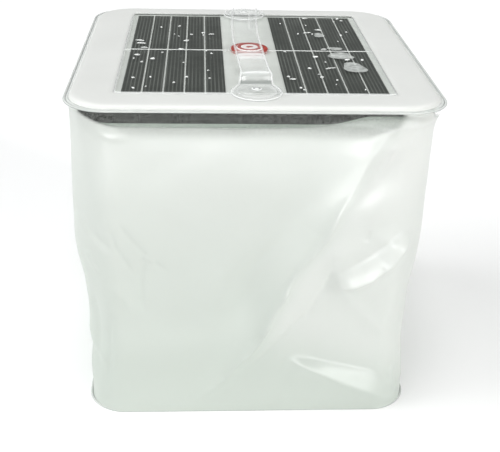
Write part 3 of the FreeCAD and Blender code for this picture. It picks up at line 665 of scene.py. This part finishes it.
def film_points(s, z, lift=0.0):
    """The film's surface at running length s and height z (metres), lift metres outside it."""
    flat, normal = rounded_square(s, WALL_HALF, WALL_ROUND)
    high = z / MM
    sideways = np.where(normal[..., 0] > 0, smooth_curve(WALL_RIGHT, high), smooth_curve(WALL_LEFT, high))
    endways = np.where(normal[..., 1] > 0, smooth_curve(WALL_BACK, high), smooth_curve(WALL_FRONT, high))
    even = normal[..., 0] ** 2 * sideways + normal[..., 1] ** 2 * endways
    corner = (2 * normal[..., 0] * normal[..., 1]) ** 2
    even = even - 1.6 * corner * smoothstep(6, 40, high) * (1 - smoothstep(95, 135, high))
    out = (even + film_relief(s / MM, high)) * MM + lift
    return np.concatenate([flat + normal * out[..., None], z[..., None]], -1)


def film_contact(s, z):
    """1 where the film is pressed on the tray and looks clear, 0 where it hangs free."""
    quarter = outline_length(WALL_HALF, WALL_ROUND) / 4
    side = np.floor(s / quarter + 0.5)
    local = (s - side * quarter) / MM
    high = z / MM
    wave = 0.35 * np.sin(local * 0.06 + side) + 0.15 * np.sin(local * 0.19 + 2 * side)
    left_end = -73 + smoothstep(145, 134, high) * 22
    right_end = 58 - smoothstep(144, 135, high) * 13
    along = smoothstep(left_end - 2.0, left_end + 3, local)
    along = along * (1 - smoothstep(right_end - 3, right_end + 1, local))
    lifting = 5.2 * smoothstep(8, 56, local)
    loose = smoothstep(132.6 + wave, 138.6 + wave, high)
    tight = smoothstep(137.0 + lifting + wave, 139.6 + lifting + wave, high)
    return along * (0.55 * loose + 0.45 * tight)


def film_painted_shading(s, z):
    """Painted shading on the wall's film: a painted shade that greys it towards its foot, and right of the
    long fold a painted light that keeps it paler."""
    place, high = s / MM, z / MM
    fold_places, fold_heights = np.array(LONG_FOLD[::-1], float).T
    painted_light_right = smoothstep(-3, 8, place - np.interp(high, fold_heights, fold_places))
    painted_light_right = painted_light_right * (1 - smoothstep(75, 110, place)) * smoothstep(24, 58, high + 0.35 * place)
    low = 1 - np.clip(high / 128, 0, 1) ** 1.3
    return np.clip(0.38 + 0.68 * low, 0, 1) * (1 - painted_light_right) + 0.5 * low * painted_light_right


def make_wall():
    """The creased tube of film between the two welds, one sheet that stretches round all four sides."""
    rows, front_cols, side_cols = 180, 190, 92
    length = outline_length(WALL_HALF, WALL_ROUND)
    turns = [np.arange(n) / n - 0.5 + side for side, n in enumerate([front_cols] + 3 * [side_cols])]
    around = np.concatenate(turns) * length / 4
    low, high = FILM_LOW, FILM_HIGH
    s, z = np.meshgrid(around, np.linspace(low, high, rows))
    wall = piece("frosted_wall", film_points(s, z), grid_faces(rows, len(around), wrap_cols=True),
                 MATERIALS["frosted_film"])
    shade_points(wall, "contact", film_contact(s, z))
    # Painted shade towards the foot and painted light right of the long fold, stored for the film's colour.
    shade_points(wall, "painted_shading", film_painted_shading(s, z))
    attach(wall, "base")
    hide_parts("body_sleeve")
    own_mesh(wall)


def make_seam():
    """The welded strip down the back, with a pressed line near each edge."""
    cols, rows = 15, 110
    half = (SEAM[1][0] - SEAM[0][0]) / 2
    middle = outline_length(WALL_HALF, WALL_ROUND) / 2
    across = np.linspace(-half, half, cols)
    s, z = np.meshgrid(middle + across, np.linspace(SEAM[0][2], SEAM[1][2], rows))
    ridge = 0.30 * MM + 0.18 * MM * np.cos(across / half * 3 * math.pi)
    edge = smoothstep(half, half - 0.8 * MM, np.abs(across))
    seam = piece("back_seam", film_points(s, z, 0.05 * MM + ridge * edge), grid_faces(rows, cols),
                 MATERIALS["weld_film"])
    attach(seam, "base")
    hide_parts("sleeve_seam")
    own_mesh(seam)


# ---- welds and the white top

def make_weld(name, section, foot, half):
    """A weld's section swept round a rounded square. Its dark lines are painted shade, painted strongest on
    the left and right sides.
    """
    count = 360
    line, normal = even_outline(count, half, WELD_ROUND)
    rows = [level_row(line + normal * out * MM, foot + height * MM) for out, height, _ in section]
    weld = piece(name, np.array(rows), grid_faces(len(rows), count, wrap_rows=True, wrap_cols=True),
                 MATERIALS["weld_film"])
    # Painted shade: the dark lines are made stronger on the left and right sides than on the front and back.
    pressed = 0.3 + 0.7 * np.abs(normal[:, 0])
    shade_points(weld, "line", [dark * p for _, _, dark in section for p in pressed])
    return weld


# Closed sections of the two welds, in millimetres: (out from the rim's line, height over its foot, how dark:
# painted shade in the grooves and along the outer bead).
# The top one has a rounded outer bead, a groove and an inner bead.
WELD_ROUND = 17 * MM
TOP_WELD = ((-3.4, 0.2, 0), (-1.0, 0.15, 0), (-0.30, 0.20, 0.3), (-0.06, 0.34, 0.8), (0, 0.52, 1),
            (-0.08, 0.70, 0.7), (-0.28, 0.88, 0.1), (-0.55, 0.95, 0), (-0.85, 0.86, 0.1), (-1.00, 0.62, 0.9),
            (-1.18, 0.62, 0.9), (-1.32, 0.90, 0.1), (-1.65, 0.99, 0), (-2.05, 0.88, 0), (-2.6, 0.72, 0),
            (-3.4, 0.70, 0))
FOOT_WELD = ((-3.4, 0.05, 0), (-0.8, 0.0, 0), (-0.25, 0.05, 0.3), (0, 0.36, 0.5), (-0.12, 0.66, 0.2),
             (-0.40, 0.82, 0), (-0.8, 0.76, 0.1), (-1.0, 0.56, 0.9), (-1.3, 0.62, 0.5), (-1.6, 0.86, 0),
             (-2.4, 0.90, 0), (-3.4, 0.62, 0))


def make_welds():
    """The clear flange round the top, and the weld that the lantern stands on."""
    weld = make_weld("top_weld", TOP_WELD, RIM[0][2], RIM[1][0])
    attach(weld, "head")
    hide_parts("top_rim_weld")
    weld = make_weld("foot_weld", FOOT_WELD, FOOT[0][2], FOOT[1][0])
    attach(weld, "base")
    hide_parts("bottom_rim_weld")


def make_gasket():
    """The dark foam band under the rim. Its lower edge runs up to the right, where it was cut short."""
    count = 4 * 120
    s = (np.arange(count) / count - 0.125) * outline_length(WALL_HALF, WALL_ROUND)
    line, normal = rounded_square(s, WALL_HALF, WALL_ROUND)
    foot = GASKET[0][2] / MM - 3.0 + 3.6 * smoothstep(27, 46, s / MM) * (s < WALL_HALF)
    head = np.full(count, GASKET[1][2] / MM - 0.1)
    section = ((3.0, head), (1.15, head), (1.15, head * 0.5 + foot * 0.5), (1.45, foot + 0.3), (1.9, foot),
               (3.0, foot))
    rows = [level_row(line - normal * inset * MM, height[:, None] * MM) for inset, height in section]
    band = piece("gasket_band", np.array(rows), grid_faces(len(rows), count, wrap_rows=True, wrap_cols=True),
                 MATERIALS["gasket_foam"])
    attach(band, "head")
    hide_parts("panel_gasket")


TOP_HALF = 74 * MM
WINDOW_GAP = 0.05 * MM
WINDOW_ROUND = 2.5 * MM

# Height of the top film over its foot in millimetres, from its outer edge (0) to the window's edge (1).
TOP_CROWN = ((0, 0.7), (0.03, 1.5), (0.07, 2.0), (0.13, 2.28), (0.25, 2.4), (0.5, 2.45), (0.82, 2.42),
             (0.93, 2.4), (1.0, 2.15))


def make_top_film():
    """The white top: a film puffed up a little between its weld and the module's edge."""
    rows, count = 34, 480
    outer, _ = even_outline(count, TOP_HALF, WELD_ROUND)
    window_x, window_y = COVER[1][0] + WINDOW_GAP, COVER_HALF[1] + WINDOW_GAP
    inner, _ = even_outline(count, window_x, WINDOW_ROUND)
    inner = inner * np.array([1, window_y / window_x]) + np.array([0, COVER_MIDDLE[1]])
    shares = np.linspace(0, 1, rows) ** 1.35
    heights = TOP[0][2] + smooth_curve(TOP_CROWN, shares) * MM
    points = [level_row(outer * (1 - share) + inner * share, height)
              for share, height in zip(shares, heights)]
    top = piece("top_film", np.array(points), grid_faces(rows, count, wrap_cols=True),
                MATERIALS["white_film"])
    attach(top, "head")
    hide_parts("top_sheet")


# ---- the strap

# Side view of the strap: (distance to the back of the lantern's middle, height over the module), millimetres.
STRAP_LINE = ((-62, 0.95), (-54, 0.95), (-52.0, 1.0), (-51.4, 2.8), (-51.0, 4.8), (-50.4, 5.7), (-46, 6.0),
              (-34, 6.5), (-14, 7.0), (4, 6.95), (20, 6.85), (36, 6.6), (48, 6.0), (52.0, 5.3), (53.6, 3.2),
              (54.8, 1.1), (57, 0.95), (64, 0.95))

# Marks across the strap: (distance to the back of the lantern's middle, half its length along the strap, both
# in millimetres, whiteness, darkness). The whiteness makes the strap whiter and more solid: painted highlight
# on its folds, a painted reflection over the button's ring, and milkiness elsewhere; the darkness is painted
# shade at the folds.
STRAP_MARKS = ((-50.3, 0.8, 0.8, 0), (-51.8, 0.6, 0, 1), (-51.05, 0.4, 0.1, 0.45), (-25.8, 0.7, 0.75, 0),
               (-27.6, 0.7, 0.1, 0.4), (-29.8, 2.4, 0.95, 0), (-33.5, 3.6, 0.75, 0), (-41, 5, 0.25, 0),
               (-57.5, 1.0, 0.35, 0), (37, 7, 0.15, 0), (50.5, 1.2, 0.35, 0))
STRAP_BOW = -2.2 * MM
STRAP_BEAD = 0.55 * MM
STRAP_FLARE = 3.6 * MM


def curve_points(route, count):
    """Evenly spaced points on the smooth line that the route's points steer."""
    data = bpy.data.curves.new("route", "CURVE")
    data.dimensions = "3D"
    spline = data.splines.new("NURBS")
    spline.points.add(len(route) - 1)
    for point, place in zip(spline.points, route):
        point.co = (*place, 1)
    spline.order_u = 3
    spline.use_endpoint_u = True
    spline.resolution_u = 24
    holder = bpy.data.objects.new("route", data)
    mesh = bpy.data.meshes.new_from_object(holder)
    line = np.array([v.co for v in mesh.vertices], float)
    bpy.data.objects.remove(holder)
    along = np.concatenate([[0], np.cumsum(np.linalg.norm(np.diff(line, axis=0), axis=1))])
    at = np.linspace(0, along[-1], count)
    return np.stack([np.interp(at, along, line[:, k]) for k in range(3)], -1)


def make_strap():
    """The clear carry strap: a thin band with a thick bead along each edge. It bows a little to the left,
    widens over its patches, and carries a painted crease along the right of its rear half, a painted
    highlight line and a painted shade line on the flat band."""
    half = (STRAP[1][0] - STRAP[0][0]) / 2
    route = []
    for y, height in STRAP_LINE:
        share = math.cos(min(1.0, abs(y) / 52) * math.pi / 2)
        route.append((STRAP_BOW * share, y * MM, COVER[1][2] + height * MM))
    line = curve_points(route, 170)
    ahead = np.gradient(line, axis=0)
    ahead /= np.linalg.norm(ahead, axis=1)[:, None]
    side = np.tile([1.0, 0, 0], (len(line), 1)) - ahead[:, :1] * ahead
    side /= np.linalg.norm(side, axis=1)[:, None]
    up = np.cross(side, ahead)
    place = line[:, 1] / MM
    reach = half - STRAP_BEAD + STRAP_FLARE * smoothstep(49.5, 60, np.abs(place - 1))
    share = np.linspace(-1, 1, 21)
    crown = 0.35 * MM * (1 - share**2)
    band = (line[:, None] + (reach[:, None] * share[None, :])[:, :, None] * side[:, None]
            + crown[None, :, None] * up[:, None])
    parts = [(band, grid_faces(len(line), len(share)))]
    # Whiteness: milky all over but near the button, then painted highlights and a painted reflection from the
    # marks; dark is painted shade.
    white = 0.17 * (1 - np.exp(-((place + 15) / 10) ** 2))
    dark = np.zeros(len(line))
    for middle, spread, whiteness, darkness in STRAP_MARKS:
        here = np.exp(-((place - middle) / spread) ** 2)
        white, dark = np.maximum(white, whiteness * here), np.maximum(dark, darkness * here)
    # A painted crease on the flat band: a white line of painted highlight and a dark line of painted shade
    # beside it.
    crease = (smoothstep(6, 12, place) * (1 - smoothstep(34, 42, place)))[:, None]
    crest = 0.55 * crease * np.exp(-((share - 0.42) / 0.09) ** 2)[None, :]
    groove = 0.3 * crease * np.exp(-((share - 0.68) / 0.07) ** 2)[None, :]
    # Painted highlight along both edges of the band.
    rim = smoothstep(0.82, 1.0, np.abs(share)) * 0.3
    shades = [np.maximum(np.maximum(white[:, None], rim[None, :]), crest).ravel()]
    darks = [np.maximum(dark[:, None] * np.ones(len(share)), groove).ravel()]
    turns = np.arange(10) / 10 * 2 * math.pi
    for hand in (-1, 1):
        middle = line + (hand * reach)[:, None] * side
        tube = (middle[:, None] + STRAP_BEAD * np.cos(turns)[None, :, None] * side[:, None]
                + STRAP_BEAD * np.sin(turns)[None, :, None] * up[:, None])
        parts.append((tube, grid_faces(len(line), len(turns), wrap_cols=True)))
        # Painted highlight on the top of each bead and painted shade on its outer side.
        shades.append(np.tile(0.12 + 0.34 * np.clip(np.sin(turns), 0, 1) ** 2, len(line)))
        darks.append(np.tile(0.35 * np.clip(-hand * np.cos(turns), 0, 1) ** 3, len(line)))
    points, faces = joined(parts)
    strap = piece("clear_strap", points, faces, MATERIALS["clear_strap"])
    shade_points(strap, "edge", np.concatenate(shades))
    shade_points(strap, "line", np.concatenate(darks))
    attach(strap, "head")
    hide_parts("handle_strap")


# Sections from the rim to the middle: (distance from the middle, height, both in millimetres, whiteness,
# darkness). Whiteness is painted highlight on the raised rings, and darkness is painted shade in the grooves
# and at the foot.
PATCH_SECTION = ((10.4, 0.0, 0.4, 0.7), (10.3, 0.40, 0.7, 0), (9.9, 0.55, 0.6, 0), (9.4, 0.46, 0.1, 0),
                 (8.6, 0.46, 0, 0), (8.15, 0.50, 0, 0.6), (7.9, 0.62, 0.5, 0), (7.5, 0.62, 0.5, 0),
                 (7.1, 0.48, 0, 0.1), (3.4, 0.50, 0, 0), (0.02, 0.55, 0, 0))
BOSS_SECTION = ((2.2, 0.0, 0.2, 0.7), (2.1, 0.35, 0.9, 0), (1.75, 0.5, 0.9, 0), (1.5, 0.42, 0.2, 0.6),
                (1.25, 0.15, 0, 0.75), (0.95, 0.12, 0.2, 0.2), (0.75, 0.35, 0.9, 0), (0.4, 0.5, 0.9, 0),
                (0.02, 0.5, 0.6, 0.1))


def make_disc(name, middle, foot, section, replaced=None):
    """A round clear piece lathed from its section."""
    count = 72
    rows = lathed(middle, [(reach * MM, foot + height * MM) for reach, height, _, _ in section], count)
    disc = piece(name, rows, grid_faces(len(rows), count, wrap_cols=True), MATERIALS["clear_strap"])
    # Painted highlight and painted shade from the section's whiteness and darkness.
    shade_points(disc, "edge", np.repeat([white for _, _, white, _ in section], count))
    shade_points(disc, "line", np.repeat([dark for _, _, _, dark in section], count))
    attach(disc, "head")
    if replaced:
        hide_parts(replaced)


def make_patches():
    """The round clear patches that weld the strap's ends down, each with raised rings and a small boss,
    shaded with painted highlights and painted shade.
    """
    foot = span("strap_bosses")[0][2]
    for name, (low, high), replaced in (("strap_patch_front", PATCH_FRONT, "strap_bosses"),
                                        ("strap_patch_rear", PATCH_REAR, None)):
        middle = (low + high) / 2
        make_disc(name + "_film", middle, low[2], PATCH_SECTION, name)
        make_disc(name + "_boss", middle, foot, BOSS_SECTION, replaced)


COVER_ROUND = 1.5 * MM
RING_GAP = 0.15 * MM


def make_cover():
    """The laminate's clear face over the cells, with rolled edges and a hole for the button's ring. The
    rolled edge is painted white as a painted highlight.
    """
    count = 200
    low, high = COVER[0][2], COVER[1][2]
    flat = high - 0.05 * MM
    rows, shades = [], []
    for inset, height, white in ((0, low, 1), (0.05, high - 0.3 * MM, 1), (0.35, high, 1), (0.8, high, 0.5),
                                 (1.4, flat, 0), (4, flat, 0), (20, flat, 0)):
        half = COVER_HALF[0] - inset * MM
        outline, _ = even_outline(count, half, COVER_ROUND)
        outline = outline * np.array([1, (COVER_HALF[1] - inset * MM) / half])
        outline = outline + np.array([0, COVER_MIDDLE[1]])
        rows.append(level_row(outline, height))
        shades.append(np.full(count, white))
    ring_low, ring_high = span("button_ring")
    centre = ((ring_low + ring_high) / 2)[:2]
    away = rows[-1][:, :2] - centre
    away /= np.linalg.norm(away, axis=1)[:, None]
    bore = (ring_high[0] - ring_low[0]) / 2 + RING_GAP
    for reach, height, white in ((bore + 0.8 * MM, flat, 0), (bore, flat, 0.5), (bore, low, 0.8)):
        rows.append(level_row(centre + reach * away, height))
        shades.append(np.full(count, white))
    cover = piece("laminate_face", np.array(rows), grid_faces(len(rows), count, wrap_cols=True),
                  MATERIALS["clear_laminate"])
    shade_points(cover, "edge", np.concatenate(shades))
    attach(cover, "head")
    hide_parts("solar_cover")


def make_button_mark():
    """The red print on the button: a band inside the ring and a small dot in the middle."""
    count = 64
    low, high = span("power_button")
    middle = (*((low + high) / 2)[:2], high[2] - 0.05 * MM)
    edge = (high[0] - low[0]) / 2 - 0.4 * MM
    section = ((0, 0), (0.1, 0.14), (1.6, 0.14), (1.7, 0))
    rows = lathed(middle, [(edge - inset * MM, middle[2] + height * MM) for inset, height in section], count)
    points, faces = joined([dome(middle, (1.7 * MM, 1.5 * MM), 0, 3, 0.12 * MM),
                            (rows, grid_faces(len(rows), count, wrap_cols=True))])
    mark = piece("button_mark", points, faces, MATERIALS["red_print"])
    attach(mark, "button")


def make_diaphragm():
    """The valve's film cone, from the collar to the stem, made in one fixed shape; the real valve's cone
    turns inside out as the stem is pulled.
    """
    count = 64
    low, high = span("valve_diaphragm")
    stem_low, stem_high = span("valve_stem")
    rise = high[2] - low[2]
    foot, neck = (high[0] - low[0]) / 2 - 0.3 * MM, (stem_high[1] - stem_low[1]) / 2 + 0.6 * MM
    section = [(foot + (neck - foot) * share + 0.35 * MM * math.sin(3 * math.pi * share),
                low[2] + rise * (share - 0.06 * math.sin(2 * math.pi * share)))
               for share in np.linspace(0, 1, 15)]
    rows = lathed((0, 0), section, count)
    cone = piece("diaphragm_film", rows, grid_faces(len(rows), count, wrap_cols=True),
                 MATERIALS["valve_film"])
    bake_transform(cone)
    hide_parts("valve_diaphragm")


# ---- marks on the module

def dome(centre, size, turn, seed, height=0.35 * MM, rings=4, count=14):
    """Points and faces of one low, uneven bead lying on the laminate."""
    rng = np.random.default_rng(seed)
    angles = np.arange(count) / count * 2 * math.pi
    uneven = 1 + 0.16 * np.sin(2 * angles + rng.uniform(0, 6)) + 0.10 * np.sin(3 * angles + rng.uniform(0, 6))
    points = []
    for k in range(rings):
        share = math.cos(k / rings * math.pi / 2)
        for a, u in zip(angles, uneven):
            x, y = math.cos(a) * size[0] * u * share, math.sin(a) * size[1] * u * share
            points.append((centre[0] + x * math.cos(turn) - y * math.sin(turn),
                           centre[1] + x * math.sin(turn) + y * math.cos(turn),
                           centre[2] + height * math.sin(k / rings * math.pi / 2)))
    points.append((centre[0], centre[1], centre[2] + height))
    faces = grid_faces(rings, count, wrap_cols=True)
    last = (rings - 1) * count
    faces += [[last + n, last + (n + 1) % count, rings * count] for n in range(count)]
    return points, faces


# Larger dried marks on the right-hand cells: (x and y of the middle, half length, half width, in millimetres,
# turn in degrees). MARK_SHADES is how solid a mark is, ring by ring from its rim in.
DRIED_MARKS = ((40.5, -8.2, 6.4, 4.6, 8), (44.2, -25.0, 5.4, 6.4, 30), (34.6, 25.0, 2.8, 3.2, 0),
               (39.5, 3.0, 3.8, 2.0, 4))
MARK_SHADES = (0, 0.1, 0.5, 0.8, 1)


def make_droplets():
    """Small beads scattered over both groups of cells, and the larger dried marks."""
    rng = np.random.default_rng(11)
    level = COVER[1][2] - 0.06 * MM
    beads = []
    for low, high in (CELLS_LEFT, CELLS_RIGHT):
        inner_low, inner_high = low + 1 * MM, high - 1 * MM
        for n in range(30):
            centre = (rng.uniform(inner_low[0], inner_high[0]),
                      rng.uniform(inner_low[1], inner_high[1]), level)
            long = rng.uniform(0.3, 0.8) * MM if n % 4 else rng.uniform(1.1, 2.2) * MM
            size = (long, rng.uniform(0.35, 1.1) * MM)
            beads.append(dome(centre, size, rng.normal(0, 0.25), int(rng.integers(1, 9999))))
    points, faces = joined(beads)
    drops = piece("droplets", points, faces, MATERIALS["droplet"])
    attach(drops, "head")
    marks, shades, count = [], [], 28
    for number, (x, y, long, wide, turn) in enumerate(DRIED_MARKS):
        centre = (x * MM, y * MM, level)
        marks.append(dome(centre, (long * MM, wide * MM), math.radians(turn), 40 + number, 0.12 * MM,
                          len(MARK_SHADES), count))
        shades.append(np.concatenate([np.repeat(MARK_SHADES, count), [1]]))
    points, faces = joined(marks)
    stains = piece("dried_marks", points, faces, MATERIALS["dried_mark"])
    shade_points(stains, "edge", np.concatenate(shades))
    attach(stains, "head")


# ---- stage, lights and camera

FLOOR_HALF = 14.0


def make_stage():
    """A plain pale floor."""
    pale = Finish("floor", (0.93, 0.93, 0.92), 0.6)
    pale.mottle((0.3, (0.92, 0.92, 0.915)), (0.7, (0.94, 0.94, 0.935)), 0.35, 3)
    corners = [(x * FLOOR_HALF, y * FLOOR_HALF, 0) for x, y in ((-1, -1), (1, -1), (1, 1), (-1, 1))]
    floor = piece("floor", corners, [[0, 1, 2, 3]], pale.material, smooth=False)


def lamp_towards(data, power, direction):
    """A lamp that shines along a direction."""
    data.energy = power
    lamp = bpy.data.objects.new(data.name, data)
    bpy.context.scene.collection.objects.link(lamp)
    lamp.rotation_mode = "QUATERNION"
    lamp.rotation_quaternion = direction.to_track_quat("-Z", "Y")
    return lamp


def sun(name, azimuth, elevation, strength, softness, colour=(1, 1, 1)):
    """A far, soft lamp that leaves no reflection. Azimuth is to the right of the front, elevation above the
    floor, both in degrees."""
    data = bpy.data.lights.new(name, "SUN")
    data.angle = math.radians(softness)
    data.color = colour
    a, e = math.radians(azimuth), math.radians(elevation)
    towards = Vector((math.sin(a) * math.cos(e), -math.cos(a) * math.cos(e), math.sin(e)))
    lamp = lamp_towards(data, strength, -towards)
    lamp.visible_glossy = False


def sheen_light(name, place, aim, size, power):
    """A soft box that only shows as a reflection in glossy folds."""
    data = bpy.data.lights.new(name, "AREA")
    data.shape = "RECTANGLE"
    data.size, data.size_y = size
    lamp = lamp_towards(data, power, Vector(aim) - Vector(place))
    lamp.location = place
    lamp.visible_diffuse = False


def make_lights():
    """A pale surround, soft suns that shade the film, and two soft boxes that glint in its folds."""
    world = bpy.data.worlds.new("studio")
    bpy.context.scene.world = world
    world.use_nodes = True
    background = next(n for n in world.node_tree.nodes if n.type == "BACKGROUND")
    background.inputs["Color"].default_value = (0.97, 0.985, 1.0, 1)
    background.inputs["Strength"].default_value = 0.32
    sun("key", 50, 14, 1.80, 10, (1.0, 0.995, 0.98))
    sun("overhead", 0, 80, 1.3, 30)
    sun("side_fill", -94, 30, 1.6, 40, (0.98, 0.99, 1.0))
    sun("left_soft", -60, 22, 1.05, 60, (0.99, 0.995, 1.0))
    sheen_light("low_sheen", (0.50, -1.18, 0.24), (0.03, 0, 0.07), (0.74, 0.32), 11)
    sheen_light("left_sheen", (-0.34, -1.30, 0.26), (0.05, -0.07, 0.08), (0.40, 0.34), 12)


CAMERA_PLACE = (-0.0222, -0.3916, 0.2642)
CAMERA_PITCH, CAMERA_YAW, CAMERA_ROLL = 27.84, 3.62, 1.68
CAMERA_LENS, SENSOR = 63.7, 36.0


def make_camera():
    """The camera looks down by the pitch, turned right by the yaw, and is rolled a little."""
    pitch, yaw, roll = (math.radians(a) for a in (CAMERA_PITCH, CAMERA_YAW, CAMERA_ROLL))
    forward = Vector((math.sin(yaw) * math.cos(pitch), math.cos(yaw) * math.cos(pitch), -math.sin(pitch)))
    right = Vector((math.cos(yaw), -math.sin(yaw), 0))
    up = right.cross(forward)
    across = math.cos(roll) * right + math.sin(roll) * up
    upright = math.cos(roll) * up - math.sin(roll) * right
    data = bpy.data.cameras.new("camera")
    data.lens, data.sensor_width = CAMERA_LENS, SENSOR
    data.clip_start, data.clip_end = 0.01, 30
    camera = bpy.data.objects.new("camera", data)
    bpy.context.scene.collection.objects.link(camera)
    turned = Matrix((across, upright, -forward)).transposed().to_4x4()
    camera.matrix_world = Matrix.Translation(Vector(CAMERA_PLACE)) @ turned
    bpy.context.scene.camera = camera


# ---- all together

dress_cad_nodes()
make_wall()
make_seam()
make_welds()
make_gasket()
make_top_film()
make_cover()
make_strap()
make_patches()
make_droplets()
make_button_mark()
make_diaphragm()
make_stage()
make_lights()
make_camera()
bpy.context.scene.view_settings.view_transform = "Standard"
